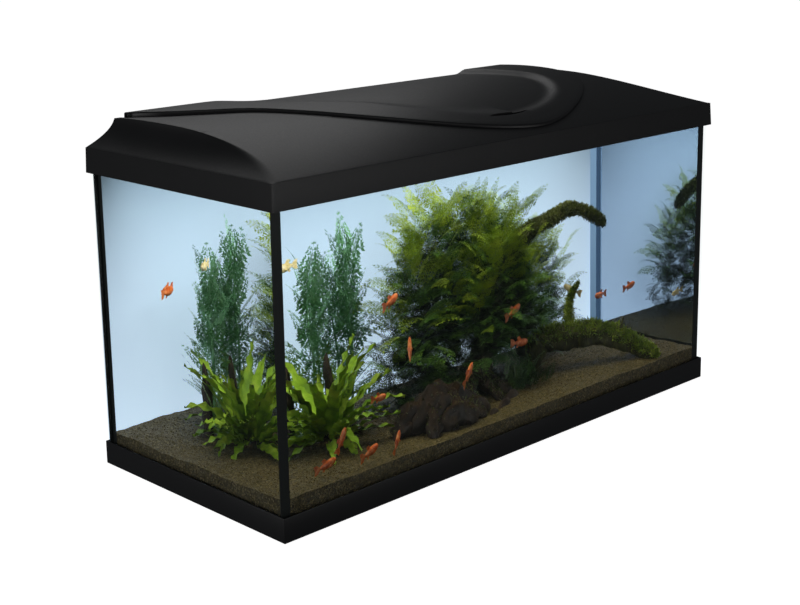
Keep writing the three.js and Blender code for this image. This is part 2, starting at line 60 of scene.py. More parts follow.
# ---------------------------------------------------------------- sizes read from the CAD
pane_low, pane_high = node_box("front_pane")
shell_low, shell_high = node_box("hood_shell")
flap_high = node_box("main_flap")[1]
FILM_FRONT = node_box("background_film")[0][1]
GROUND = node_box("gravel_bed")[1][2]
HALF_L = pane_high[0]
HALF_D = -pane_low[1]
GLASS = 5.0
GLASS_TOP = pane_high[2]
HOOD_X = shell_high[0]
HOOD_Y = shell_high[1]
SKIRT_Z = shell_low[2]
SHOULDER_LIFT = 6.0
ARCH_RISE = 35.0
PEAK_FROM_REAR = 90.0
SHOULDER_Z = GLASS_TOP + SHOULDER_LIFT
PEAK_Z = SHOULDER_Z + ARCH_RISE
PEAK_Y = HOOD_Y - PEAK_FROM_REAR
ARCH_R = ((PEAK_Y + HOOD_Y) ** 2 + ARCH_RISE ** 2) / (2 * ARCH_RISE)
DRAFT = 1.5
FLARE = 44.0
WALL = 2.5
FLAP_END = flap_high[0]
FLAP_REAR = flap_high[1]
BARREL_R = 5.0
AXIS_Y = FLAP_REAR - BARREL_R
AXIS_Z = frame["record"]["behaviour"]["joints"][1]["pos_m"][2] / MM
WATER_BELOW_RIM = 16.0
WATER_TOP = GLASS_TOP - WATER_BELOW_RIM


# ---------------------------------------------------------------- camera
SENSOR_WIDTH = 36
LENS = 66.15
LENS_SHIFT = -0.1
CAMERA_PLACE = (-1365, -1360, 700)
CAMERA_TURN = (44.17, 12.44, -0.90)     # degrees: from +Y towards +X, downwards, and rolled


def add_object(name, data):
    obj = bpy.data.objects.new(name, data)
    bpy.context.scene.collection.objects.link(obj)
    return obj


def add_camera():
    yaw, pitch, roll = (radians(a) for a in CAMERA_TURN)
    forward = Vector((sin(yaw) * cos(pitch), cos(yaw) * cos(pitch), -sin(pitch)))
    right = Vector((cos(yaw), -sin(yaw), 0))
    up = right.cross(forward)
    r = right * cos(roll) + up * sin(roll)
    u = -right * sin(roll) + up * cos(roll)
    data = bpy.data.cameras.new("camera")
    data.sensor_width = SENSOR_WIDTH
    data.lens = LENS
    data.shift_y = LENS_SHIFT
    data.clip_start = 0.05
    data.clip_end = 100
    cam = add_object("camera", data)
    turn = Matrix((r, u, -forward)).transposed().to_4x4()
    cam.matrix_world = Matrix.Translation(Vector(CAMERA_PLACE) * MM) @ turn
    bpy.context.scene.camera = cam


add_camera()


# ---------------------------------------------------------------- materials
def fill(node, **inputs):
    for key, value in inputs.items():
        node.inputs[key.replace("_", " ")].default_value = value
    return node


class Nodes:
    def __init__(self, name):
        self.mat = bpy.data.materials.new(name)
        self.mat.use_nodes = True
        self.tree = self.mat.node_tree
        self.tree.nodes.clear()
        self.out = self.add("ShaderNodeOutputMaterial")
        self.bsdf = self.add("ShaderNodeBsdfPrincipled")
        self.link(self.bsdf.outputs[0], self.out.inputs["Surface"])
        self.coord = self.add("ShaderNodeTexCoord").outputs["Object"]

    def add(self, kind, **inputs):
        return fill(self.tree.nodes.new(kind), **inputs)

    def link(self, a, b):
        self.tree.links.new(a, b)

    def noise(self, scale, detail=4.0, rough=0.6, stretch=None, distortion=0.0):
        node = self.add("ShaderNodeTexNoise", Scale=scale, Detail=detail, Roughness=rough,
                Distortion=distortion)
        self.link(self.stretched(stretch), node.inputs["Vector"])
        return node.outputs["Fac"]

    def stretched(self, stretch):
        if stretch is None:
            return self.coord
        mapping = self.add("ShaderNodeMapping", Scale=stretch)
        self.link(self.coord, mapping.inputs["Vector"])
        return mapping.outputs[0]

    def ramp(self, fac, stops):
        node = self.add("ShaderNodeValToRGB")
        elements = node.color_ramp.elements
        while len(elements) < len(stops):
            elements.new(0.5)
        for element, (at, color) in zip(elements, stops):
            element.position = at
            element.color = (*color, 1)
        self.link(fac, node.inputs["Fac"])
        return node.outputs["Color"]

    def mapped(self, fac, low, high, start=0.3, end=0.7):
        node = self.add("ShaderNodeMapRange", From_Min=start, From_Max=end, To_Min=low, To_Max=high)
        self.link(fac, node.inputs["Value"])
        return node.outputs["Result"]

    def color(self, socket):
        self.link(socket, self.bsdf.inputs["Base Color"])

    def rough(self, fac, low, high):
        self.link(self.mapped(fac, low, high), self.bsdf.inputs["Roughness"])

    def bump(self, height, strength, distance):
        node = self.add("ShaderNodeBump", Strength=strength, Distance=distance)
        self.link(height, node.inputs["Height"])
        self.link(node.outputs[0], self.bsdf.inputs["Normal"])

    def lamps_through(self, tint):
        light = self.add("ShaderNodeLightPath")
        clear = self.add("ShaderNodeBsdfTransparent", Color=(*tint, 1))
        mix = self.add("ShaderNodeMixShader")
        self.link(light.outputs["Is Shadow Ray"], mix.inputs[0])
        self.link(self.bsdf.outputs[0], mix.inputs[1])
        self.link(clear.outputs[0], mix.inputs[2])
        self.link(mix.outputs[0], self.out.inputs["Surface"])


def moulded(name, dark, light, rough, grain=700.0, bump=0.12):
    n = Nodes(name)
    n.color(n.ramp(n.noise(9, 3), [(0.35, dark), (0.65, light)]))
    n.rough(n.noise(500, 2), rough - 0.03, rough + 0.03)
    n.bump(n.noise(grain, 2), bump, 0.0004)
    return n.mat


def clear_glass(name, tint, ior, shadow, specular=(0.25, 0.25, 0.25)):
    n = Nodes(name)
    n.color(n.ramp(n.noise(1.5, 1), [(0.3, tint), (0.7, tuple(min(1.0, c + 0.01) for c in tint))]))
    fill(n.bsdf, Roughness=0.0, IOR=ior, Transmission_Weight=1.0, Specular_Tint=(*specular, 1))
    n.lamps_through(shadow)
    return n.mat


def pane_glass(name, tint, share):
    """Thin flat glass: a little reflection over a tinted clear pane."""
    n = Nodes(name)
    n.color(n.ramp(n.noise(1.5, 1), [(0.3, (0.10, 0.14, 0.13)), (0.7, (0.12, 0.16, 0.15))]))
    fill(n.bsdf, Roughness=0.05, IOR=1.5)
    clear = n.add("ShaderNodeBsdfTransparent", Color=(*tint, 1))
    mix = n.add("ShaderNodeMixShader")
    mix.inputs[0].default_value = share
    n.link(clear.outputs[0], mix.inputs[1])
    n.link(n.bsdf.outputs[0], mix.inputs[2])
    n.link(mix.outputs[0], n.out.inputs["Surface"])
    return n.mat


def film_with_painted_light(name):
    n = Nodes(name)
    split = n.add("ShaderNodeSeparateXYZ")
    n.link(n.coord, split.inputs[0])
    # Painted shade and painted glow: the film is coloured darker towards the top and made to glow, most
    # strongly at the bottom, evening out how the lamp's light falls off with depth.
    height = n.mapped(split.outputs["Z"], 0.0, 1.0, 0.04, 0.38)
    n.color(n.ramp(height, [(0.0, (0.64, 0.72, 0.86)), (0.5, (0.46, 0.55, 0.71)),
            (1.0, (0.20, 0.265, 0.36))]))
    fill(n.bsdf, Emission_Color=(0.56, 0.68, 0.86, 1))
    n.link(n.mapped(split.outputs["Z"], 0.98, 0.0, 0.04, 0.36), n.bsdf.inputs["Emission Strength"])
    n.rough(n.noise(20, 2), 0.5, 0.6)
    n.bump(n.noise(300, 2), 0.05, 0.0002)
    return n.mat


def silicone_with_painted_glow(name):
    n = Nodes(name)
    n.color(n.ramp(n.noise(9, 3), [(0.35, (0.12, 0.20, 0.30)), (0.65, (0.14, 0.22, 0.33))]))
    # Painted light: a faint blue glow makes this bead show bright though it sits in shade.
    fill(n.bsdf, Emission_Color=(0.30, 0.52, 0.80, 1), Emission_Strength=0.22)
    n.rough(n.noise(150, 2), 0.4, 0.5)
    return n.mat


def gravel_material(name):
    n = Nodes(name)
    cells = n.add("ShaderNodeTexVoronoi", Scale=520)
    n.link(n.coord, cells.inputs["Vector"])
    tone = n.add("ShaderNodeSeparateColor")
    n.link(cells.outputs["Color"], tone.inputs[0])
    n.color(n.ramp(tone.outputs[0], [(0.0, (0.024, 0.017, 0.006)), (0.45, (0.060, 0.044, 0.014)),
            (0.8, (0.088, 0.067, 0.023)), (1.0, (0.18, 0.14, 0.062))]))
    n.rough(n.noise(120, 2), 0.6, 0.9)
    n.bump(cells.outputs["Distance"], 0.8, 0.0012)
    return n.mat


def wood_material(name, dark, mid, light, green):
    n = Nodes(name)
    streaks = n.noise(90, 6, 0.65, (1.0, 1.0, 0.25), 0.8)
    n.color(n.ramp(streaks, [(0.25, dark), (0.48, mid), (0.62, light), (0.8, green)]))
    n.rough(n.noise(60, 3), 0.6, 0.85)
    n.bump(n.noise(260, 6, 0.7, (1.0, 1.0, 0.3)), 0.7, 0.002)
    return n.mat


def leaf_material(name, dark, mid, bright, rough=0.45, scale=28.0):
    n = Nodes(name)
    n.color(n.ramp(n.noise(scale, 3, 0.6), [(0.3, dark), (0.5, mid), (0.7, bright)]))
    n.rough(n.noise(90, 2), rough - 0.08, rough + 0.1)
    n.bump(n.noise(500, 3), 0.25, 0.0006)
    return n.mat


def metal(name, dark, light, rough, stretch):
    n = Nodes(name)
    n.color(n.ramp(n.noise(60, 4, 0.6, stretch), [(0.3, dark), (0.7, light)]))
    fill(n.bsdf, Metallic=1.0)
    n.rough(n.noise(200, 3, 0.6, stretch), rough - 0.06, rough + 0.08)
    return n.mat


def clear_plastic(name):
    n = Nodes(name)
    n.color(n.ramp(n.noise(4, 1), [(0.3, (0.86, 0.9, 0.92)), (0.7, (0.9, 0.93, 0.94))]))
    fill(n.bsdf, Roughness=0.08, IOR=1.46, Transmission_Weight=1.0)
    n.lamps_through((0.95, 0.97, 0.97))
    return n.mat


M = {name: made_by(name, *values) for made_by, name, *values in (
    (moulded, "black_plastic", (0.0090, 0.0090, 0.0098), (0.0115, 0.0115, 0.0125), 0.42, 900.0, 0.10),
    (clear_glass, "glass", (0.965, 0.985, 0.985), 1.5, (0.97, 0.985, 0.985)),
    (clear_glass, "water", (0.975, 0.985, 0.995), 1.333, (0.98, 0.99, 0.997), (0.12, 0.12, 0.12)),
    (moulded, "silicone", (0.008, 0.009, 0.009), (0.012, 0.013, 0.013), 0.45, 150.0, 0.2),
    (moulded, "foam", (0.02, 0.02, 0.022), (0.05, 0.05, 0.052), 0.9, 900.0, 0.8),
    (film_with_painted_light, "film"),
    (gravel_material, "gravel"),
    (wood_material, "wood", (0.006, 0.004, 0.003), (0.018, 0.012, 0.008), (0.045, 0.030, 0.018),
        (0.060, 0.052, 0.024)),
    (wood_material, "mossy_wood", (0.012, 0.010, 0.005), (0.035, 0.034, 0.012), (0.075, 0.080, 0.022),
        (0.14, 0.15, 0.04)),
    (wood_material, "root", (0.003, 0.002, 0.001), (0.009, 0.005, 0.002), (0.026, 0.014, 0.005),
        (0.052, 0.040, 0.018)),
    (leaf_material, "shade", (0.006, 0.010, 0.003), (0.014, 0.022, 0.006), (0.030, 0.046, 0.012), 0.8),
    (leaf_material, "moss_bright", (0.06, 0.10, 0.010), (0.17, 0.24, 0.025), (0.34, 0.42, 0.05)),
    (leaf_material, "moss_olive", (0.022, 0.032, 0.008), (0.065, 0.080, 0.018), (0.15, 0.17, 0.045)),
    # Painted light and shade: a lit, a half-lit and a shaded copy of one leaf colour.
    (leaf_material, "leaf_painted_lit", (0.15, 0.25, 0.012), (0.32, 0.45, 0.030), (0.56, 0.68, 0.06)),
    (leaf_material, "leaf_painted_half_lit", (0.035, 0.095, 0.012), (0.09, 0.19, 0.025), (0.18, 0.31, 0.045)),
    (leaf_material, "leaf_painted_shaded", (0.009, 0.026, 0.004), (0.024, 0.060, 0.010), (0.055, 0.11, 0.018)),
    (leaf_material, "leaf_fern", (0.09, 0.18, 0.012), (0.24, 0.40, 0.025), (0.50, 0.66, 0.07), 0.38),
    (leaf_material, "leaf_teal", (0.06, 0.18, 0.07), (0.12, 0.30, 0.13), (0.23, 0.46, 0.24)),
    (metal, "steel", (0.42, 0.42, 0.43), (0.62, 0.62, 0.64), 0.3, (1, 1, 1)),
    (metal, "aluminium", (0.70, 0.71, 0.72), (0.86, 0.87, 0.88), 0.22, (0.1, 1, 1)),
    (moulded, "lamp_tube", (0.80, 0.82, 0.81), (0.86, 0.88, 0.87), 0.25, 100.0, 0.05),
    (moulded, "white_plastic", (0.68, 0.68, 0.66), (0.76, 0.76, 0.74), 0.45),
    (moulded, "gland_rubber", (0.012, 0.012, 0.012), (0.02, 0.02, 0.02), 0.7),
    (leaf_material, "fish", (0.45, 0.07, 0.015), (0.75, 0.16, 0.03), (0.88, 0.36, 0.12), 0.32, 160.0),
    (leaf_material, "fish_pale", (0.62, 0.48, 0.16), (0.80, 0.66, 0.30), (0.88, 0.80, 0.55),
        0.32, 160.0),
    (clear_plastic, "clear_plastic"),
    (silicone_with_painted_glow, "blue_silicone_painted_glow"),
    (pane_glass, "back_glass", (0.97, 0.99, 0.98), 0.02),
    (pane_glass, "front_glass", (0.985, 0.995, 0.993), 0.025),
    # Painted shade: the right pane is the same glass as the front one, but its darker, bluer tint dims
    # what is seen through it.
    (pane_glass, "right_glass_painted_shade", (0.71, 0.76, 0.82), 0.02),
)}


# ---------------------------------------------------------------- mesh helpers
def loose(name, verts, faces):
    mesh = bpy.data.meshes.new(name)
    mesh.from_pydata((np.asarray(verts, float) * MM).tolist(), [], [tuple(f) for f in faces])
    mesh.update()
    return add_object(name, mesh)


def closed(name, verts, faces):
    """A loose mesh with its doubled corners merged and its faces turned outwards."""
    obj = loose(name, verts, faces)
    bm = bmesh.new()
    bm.from_mesh(obj.data)
    bmesh.ops.remove_doubles(bm, verts=bm.verts, dist=1e-6)
    bmesh.ops.recalc_face_normals(bm, faces=bm.faces)
    bm.to_mesh(obj.data)
    bm.free()
    return obj


def make(name, verts, faces, material, body, stands_for=(), sharp=35.0, smooth=True):
    return finish_piece(loose(name, verts, faces), material, body, stands_for, sharp, smooth)


def finish_piece(obj, material, body, stands_for=(), sharp=35.0, smooth=True):
    obj.data.materials.clear()
    obj.data.materials.append(M[material])
    obj.data.polygons.foreach_set("material_index", [0] * len(obj.data.polygons))
    if smooth:
        obj.data.shade_smooth()
        if sharp is not None:
            obj.data.set_sharp_from_angle(angle=radians(sharp))
    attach(obj, body)
    if stands_for:
        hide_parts(*stands_for)
    return obj


def apply_modifiers(obj):
    graph = bpy.context.evaluated_depsgraph_get()
    mesh = bpy.data.meshes.new_from_object(obj.evaluated_get(graph))
    obj.modifiers.clear()
    old = obj.data
    obj.data = mesh
    bpy.data.meshes.remove(old)


def bevel(obj, width, segments=2, angle=30.0):
    mod = obj.modifiers.new("bevel", "BEVEL")
    mod.width = width * MM
    mod.segments = segments
    mod.limit_method = "ANGLE"
    mod.angle_limit = radians(angle)
    return mod


def box_mesh(x0, x1, y0, y1, z0, z1):
    verts = [(x, y, z) for x in (x0, x1) for y in (y0, y1) for z in (z0, z1)]
    faces = [(0, 1, 3, 2), (4, 6, 7, 5), (0, 4, 5, 1), (2, 3, 7, 6), (0, 2, 6, 4), (1, 5, 7, 3)]
    return verts, faces


def prism_z(points, z0, z1):
    n = len(points)
    verts = [(x, y, z0) for x, y in points] + [(x, y, z1) for x, y in points]
    faces = [tuple(reversed(range(n))), tuple(range(n, 2 * n))]
    faces += [(i, (i + 1) % n, n + (i + 1) % n, n + i) for i in range(n)]
    return verts, faces


def bevelled(name, verts, faces, width, segments):
    obj = closed(name, verts, faces)
    bevel(obj, width, segments)
    apply_modifiers(obj)
    return obj


def ellipse(cx, cy, rx, ry, count):
    return [(cx + rx * cos(a), cy + ry * sin(a)) for a in np.linspace(0, 2 * pi, count + 1)[:-1]]


def tube_faces(rings, sides):
    """Quads round a tube, then its two end caps."""
    faces = [(i * sides + j, i * sides + (j + 1) % sides, (i + 1) * sides + (j + 1) % sides,
            (i + 1) * sides + j) for i in range(rings - 1) for j in range(sides)]
    last = (rings - 1) * sides
    return faces + [tuple(reversed(range(sides))), tuple(range(last, last + sides))]


def edge_loop(rows, cols):
    """Row and column of each point round the rim of a grid."""
    return ([(0, c) for c in range(cols)] + [(r, cols - 1) for r in range(1, rows)]
            + [(rows - 1, c) for c in range(cols - 2, -1, -1)]
            + [(r, 0) for r in range(rows - 2, 0, -1)])


def cut_with(obj, shapes):
    cutters = []
    for k, (verts, faces) in enumerate(shapes):
        cutter = closed(f"cutter_{k}", verts, faces)
        mod = obj.modifiers.new(f"cut_{k}", "BOOLEAN")
        mod.operation = "DIFFERENCE"
        mod.solver = "MANIFOLD"
        mod.object = cutter
        cutters.append(cutter)
    apply_modifiers(obj)
    for cutter in cutters:
        mesh = cutter.data
        bpy.data.objects.remove(cutter)
        bpy.data.meshes.remove(mesh)


def grid_faces(rows, cols, start=0):
    return [(start + r * cols + c, start + r * cols + c + 1, start + (r + 1) * cols + c + 1,
            start + (r + 1) * cols + c) for r in range(rows - 1) for c in range(cols - 1)]


def mitred_ring(name, profile, round_by, segments):
    """A closed frame round the origin. The profile is (x, y, z) at the corner with x and y above 0."""
    corners = [(-1, -1), (1, -1), (1, 1), (-1, 1)]
    n = len(profile)
    verts = [(sx * x, sy * y, z) for sx, sy in corners for x, y, z in profile]
    faces = []
    for c in range(4):
        d = (c + 1) % 4
        faces += [(c * n + i, c * n + (i + 1) % n, d * n + (i + 1) % n, d * n + i) for i in range(n)]
    return bevelled(name, verts, faces, round_by, segments)


# ---------------------------------------------------------------- hood and flap, the CAD's curves
def arch_z(y):
    return PEAK_Z - ARCH_R + np.sqrt(ARCH_R ** 2 - (y - PEAK_Y) ** 2)


def smooth(a, b, v):
    t = np.clip((v - a) / (b - a), 0, 1)
    return t * t * (3 - 2 * t)


def end_z(x):
    edge = HOOD_X - DRAFT
    t = 1 - np.sqrt(np.clip(1 - (edge - np.abs(x)) / FLARE, 0, 1))
    inside = np.abs(x) < edge - FLARE
    return np.where(inside, PEAK_Z + 60 + (edge - FLARE - np.abs(x)), SHOULDER_Z + ARCH_RISE * t)


def soft_min(a, b, k):
    h = np.clip(0.5 + 0.5 * (b - a) / k, 0, 1)
    return b * (1 - h) + a * h - k * h * (1 - h)


WAVE = [(-1, 170), (-0.92, 128), (-0.8, 98), (-0.665, 70), (-0.545, 20), (-0.43, -32), (-0.3, -78),
        (-0.157, -117), (0, -145), (0.143, -157), (0.27, -152), (0.43, -130), (0.66, -84), (0.86, -26),
        (0.955, 40), (0.99, 110), (1, 170)]


def flap_edge(steps):
    pts = np.array([(u * FLAP_END, (v / 170) * (FLAP_REAR - BARREL_R)) for u, v in WAVE])
    out = []
    for k in range(steps + 1):
        p = (len(pts) - 1) * k / steps
        i = int(p)
        w = p - i
        p0 = pts[i if i == 0 else i - 1]
        p1 = pts[min(i, len(pts) - 1)]
        p2 = pts[min(i + 1, len(pts) - 1)]
        p3 = pts[min(i + 2, len(pts) - 1)]
        v0, v1 = (p2 - p0) * 0.5, (p3 - p1) * 0.5
        out.append((2 * p1 - 2 * p2 + v0 + v1) * w ** 3 + (-3 * p1 + 3 * p2 - 2 * v0 - v1) * w ** 2
                + v0 * w + p1)
    return np.array(out)


def basin_mask(x, y):
    u = x / FLAP_END - 0.172
    v = y / FLAP_REAR - 0.341
    reach_u = np.where(u > 0, 0.625, 0.43 + 0.358 * smooth(0, FLAP_REAR, y))
    reach_v = np.where(v > 0, 2.27, 0.977)
    radius = (np.abs(u) / reach_u) ** 1.75 + (np.abs(v) / reach_v) ** 1.75
    soft = np.where(u > 0, 0.12, 0.45)
    return 1 - smooth(1 - soft, 1 + soft / 4, radius)


def flap_z(x, y):
    tail = (1 - smooth(-0.67 * FLAP_END, -0.4 * FLAP_END, x)) * smooth(0, FLAP_REAR, y)
    rim = 4.0 + 2.0 * tail
    return arch_z(y) + rim - (rim + 2.0) * basin_mask(x, y)


def hood_piece():
    edge = HOOD_X - DRAFT
    ts = np.linspace(0, 1, 26)
    flare = edge - FLARE * (1 - (1 - ts) ** 2)
    inner = np.linspace(edge - FLARE, -(edge - FLARE), 58)[1:-1]
    xs = np.concatenate([-flare, inner[::-1], flare[::-1]])
    ys = np.linspace(-HOOD_Y + DRAFT, HOOD_Y, 110)
    X, Y = np.meshgrid(xs, ys)
    Z = soft_min(arch_z(Y), end_z(X), 3.0)
    Z[:, 0] = Z[:, -1] = SHOULDER_Z
    Z = np.maximum(Z, SHOULDER_Z - 0.6)
    rows, cols = X.shape
    verts = np.stack([X, Y, Z], -1).reshape(-1, 3).tolist()
    faces = grid_faces(rows, cols)
    loop = edge_loop(rows, cols)
    top = [r * cols + c for r, c in loop]
    start = len(verts)
    for r, c in loop:
        x = X[r, c] * HOOD_X / edge
        y = HOOD_Y * (-1 + 2 * (Y[r, c] + HOOD_Y - DRAFT) / (2 * HOOD_Y - DRAFT))
        verts.append((x, y, SKIRT_Z))
    n = len(loop)
    faces += [(top[(i + 1) % n], top[i], start + i, start + (i + 1) % n) for i in range(n)]
    obj = closed("hood_cover", verts, faces)
    bevel(obj, 1.6, 3, 50)
    solid = obj.modifiers.new("wall", "SOLIDIFY")
    solid.thickness = WALL * MM
    solid.offset = -1
    solid.use_even_offset = True
    apply_modifiers(obj)
    s = 1 - 9.0 / FLAP_END
    lap = [(x * s, min(y + 9.0 * (1 if y < 0 else 1.6), AXIS_Y)) for x, y in flap_edge(90)]
    reach = FLAP_END - 9.0
    lap += [(reach, FLAP_REAR), (-reach, FLAP_REAR)]
    shapes = [prism_z(lap, GLASS_TOP + 4, 900), box_mesh(-FLAP_END - 2, FLAP_END + 2,
            AXIS_Y - 2 * BARREL_R, 900, AXIS_Z - 7, 900)]
    for sx in (-1, 1):
        x = sx * (HOOD_X - 80 - 40)
        shapes.append(box_mesh(x - 40, x + 40, HOOD_Y - WALL - 1, 900, SKIRT_Z - 1, SKIRT_Z + 20))
    gz = (node_box("cable_gland")[0][2] + node_box("cable_gland")[1][2]) / 2
    verts, faces = prism_z(ellipse(0, 0, 4.7, 4.7, 24), HOOD_Y - 8, HOOD_Y + 8)
    shapes.append(([(x, z, y + gz) for x, y, z in verts], faces))
    cut_with(obj, shapes)
    finish_piece(obj, "black_plastic", "hood", ["hood_shell"], 40)
    return obj


def hood_flange():
    x1, y1 = HOOD_X - WALL - 0.1, HOOD_Y - WALL - 0.1
    x0, y0 = HOOD_X - WALL - 30.0, HOOD_Y - WALL - 10.0
    z0, z1 = GLASS_TOP + 0.3, GLASS_TOP + 3.3
    profile = [(x1, y1, z0), (x1, y1, z1), (x0, y0, z1), (x0, y0, z0)]
    obj = mitred_ring("hood_flange", profile, 0.6, 2)
    holes = []
    for side in ("front", "rear"):
        for end in ("left", "right"):
            low, high = node_box(f"light_screw_{side}_{end}")
            cx, cy = (low[0] + high[0]) / 2, (low[1] + high[1]) / 2
            holes.append(prism_z(ellipse(cx, cy, 1.9, 1.9, 16), z0 - 5, z1 + 5))
    cut_with(obj, holes)
    return finish_piece(obj, "black_plastic", "hood")


SLOT_MIDDLE = (0.129 * FLAP_END, -0.636 * FLAP_REAR)


def finger_slot():
    cx, cy = SLOT_MIDDLE
    us = np.linspace(-1, 1, 25)
    slot = [(cx + u * 37, cy - 6 * (1 - u * u)) for u in us]
    return slot + [(cx + u * 37, cy + 6 * (1 - u * u)) for u in us[::-1][1:-1]]


def flap_piece():
    line = flap_edge(220)
    tangent = np.gradient(line, axis=0)
    tangent /= np.linalg.norm(tangent, axis=1, keepdims=True)
    inward = np.stack([-tangent[:, 1], tangent[:, 0]], -1)
    R = 2.2
    rear = FLAP_REAR - 3.0
    columns = []
    for (x, y), nrm in zip(line, inward):
        y = min(y, rear - 8.0)
        column = []
        base = float(arch_z(y)) + 0.3
        top = float(flap_z(x, y))
        column.append((x, y, base))
        column.append((x, y, (base + top - R) / 2))
        for a in np.linspace(0, pi / 2, 5):
            d = R * (1 - cos(a))
            px, py = x + nrm[0] * d, min(y + nrm[1] * d, rear - 4.0)
            column.append((px, py, float(flap_z(px, py)) - R * (1 - sin(a))))
        sx, sy = column[-1][:2]
        for k in range(1, 31):
            f = k / 30
            py = sy + (rear - sy) * f
            column.append((sx, py, float(flap_z(sx, py))))
        z_rear = float(flap_z(sx, rear))
        for a in np.linspace(0, pi / 2, 5)[1:]:
            column.append((sx, rear + 3.0 * sin(a), z_rear - 3.0 * (1 - cos(a))))
        column.append((sx, FLAP_REAR, (z_rear - 3 + AXIS_Z) / 2))
        column.append((sx, FLAP_REAR, AXIS_Z))
        columns.append(column)
    rows, cols = len(columns), len(columns[0])
    obj = closed("flap_cover", [v for column in columns for v in column], grid_faces(rows, cols))
    solid = obj.modifiers.new("wall", "SOLIDIFY")
    solid.thickness = WALL * MM
    solid.offset = -1
    apply_modifiers(obj)
    cut_with(obj, [prism_z(finger_slot(), SHOULDER_Z, 900)])
    return finish_piece(obj, "black_plastic", "flap", ["main_flap"], 38)


def finger_recess():
    """The blind cup under the finger slot, so that no lamp light leaves through it."""
    cx, cy = SLOT_MIDDLE
    outline = ellipse(cx, cy, 42, 10, 40)
    floor = float(arch_z(cy)) - 6.0
    verts, faces = prism_z(outline, floor, floor + 1)
    n = len(outline)
    verts = verts[:n] + [(x, y, float(flap_z(x, y)) - 0.6 * WALL) for x, y in outline]
    obj = closed("finger_recess", verts, faces)
    cut_with(obj, [prism_z(finger_slot(), floor + 1.5, 900)])
    return finish_piece(obj, "black_plastic", "flap")


def flap_barrel():
    sides, verts = 32, []
    rings = [(-FLAP_END + 0.1, BARREL_R - 1.2), (-FLAP_END + 1.3, BARREL_R), (FLAP_END - 1.3, BARREL_R),
            (FLAP_END - 0.1, BARREL_R - 1.2)]
    rings = [(-FLAP_END + 14, 2.3), (-FLAP_END + 0.1, 2.3)] + rings + [(FLAP_END - 0.1, 2.3),
            (FLAP_END - 14, 2.3)]
    for x, r in rings:
        verts += [(x, y, z) for y, z in ellipse(AXIS_Y, AXIS_Z, r, r, sides)]
    obj = closed("flap_barrel", verts, tube_faces(len(rings), sides))
    return finish_piece(obj, "black_plastic", "flap")


hood_piece()
hood_flange()
flap_piece()
finger_recess()
flap_barrel()
base_profile = [(1.8, 0), (1.8, 30), (0.3, 30), (0.3, 6), (-14, 6), (-14, 0)]
surround = mitred_ring("base_surround", [(HALF_L + out, HALF_D + out, z) for out, z in base_profile],
        0.7, 3)
finish_piece(surround, "black_plastic", "tank", ["base_frame"])


# ---------------------------------------------------------------- water, gravel
def water_piece():
    side = HALF_L - GLASS - 0.3
    front = HALF_D - GLASS - 0.3
    verts, faces = box_mesh(-side, HALF_L - 0.1, -front, FILM_FRONT + 0.25, 26.0, WATER_TOP)
    finish_piece(bevelled("water", verts, faces, 0.4, 2), "water", "tank", (), None, False)


def ground_z(x, y):
    base = GROUND + 3.0 - 5.0 * (y + HALF_D) / (2 * HALF_D)
    swell = 3.2 * noise.noise(Vector((x * 0.011, y * 0.013, 3.1))) + 1.2 * noise.noise(Vector((x * 0.05,
            y * 0.05, 7.7)))
    return base + swell


def gravel_piece():
    hx, hy = HALF_L - GLASS - 0.7, HALF_D - GLASS - 0.7
    nx, ny = 260, 112
    verts = []
    for y in np.linspace(-hy, hy, ny):
        for x in np.linspace(-hx, hx, nx):
            grain = 0.55 * noise.noise(Vector((x * 0.6, y * 0.6, 0.0)))
            verts.append((x, y, ground_z(x, y) + grain))
    faces = grid_faces(ny, nx)
    top = [r * nx + c for r, c in edge_loop(ny, nx)]
    start, n = len(verts), len(top)
    for i in top:
        verts.append((verts[i][0], verts[i][1], 26.3))
    faces += [(top[(i + 1) % n], top[i], start + i, start + (i + 1) % n) for i in range(n)]
    faces.append(tuple(start + i for i in range(n)))
    make("gravel", verts, faces, "gravel", "tank", ["gravel_bed"], 50)


def loose_grains():
    rng = random.Random(5)
    verts, faces = [], []
    hx, hy = HALF_L - GLASS - 3, HALF_D - GLASS - 3
    for _ in range(7000):
        x, y = rng.uniform(-hx, hx), rng.uniform(-hy, hy)
        r = rng.uniform(0.6, 1.3)
        z = ground_z(x, y) + 0.35 * r
        spin = rng.uniform(0, pi)
        s = len(verts)
        for k in range(4):
            a = spin + k * pi / 2
            q = r * rng.uniform(0.75, 1.2)
            verts.append((x + q * cos(a), y + q * sin(a), z + rng.uniform(-0.3, 0.3) * r))
        verts += [(x, y, z + r * 0.8), (x, y, z - r * 0.8)]
        for k in range(4):
            faces += [(s + k, s + (k + 1) % 4, s + 4), (s + (k + 1) % 4, s + k, s + 5)]
    make("gravel_grains", verts, faces, "gravel", "tank", (), None, False)


water_piece()
gravel_piece()
loose_grains()


# ---------------------------------------------------------------- wood
def curve_points(points, spacing=3.0):
    pts = [np.array(p, float) for p in points]
    pts = [2 * pts[0] - pts[1]] + pts + [2 * pts[-1] - pts[-2]]
    out = []
    for i in range(1, len(pts) - 2):
        p0, p1, p2, p3 = pts[i - 1:i + 3]
        steps = max(2, int(np.linalg.norm((p2 - p1)[:3]) / spacing))
        for k in range(steps):
            t = k / steps
            out.append(0.5 * ((2 * p1) + (p2 - p0) * t + (2 * p0 - 5 * p1 + 4 * p2 - p3) * t * t
                    + (3 * p1 - p0 - 3 * p2 + p3) * t ** 3))
    out.append(pts[-2])
    return np.array(out)


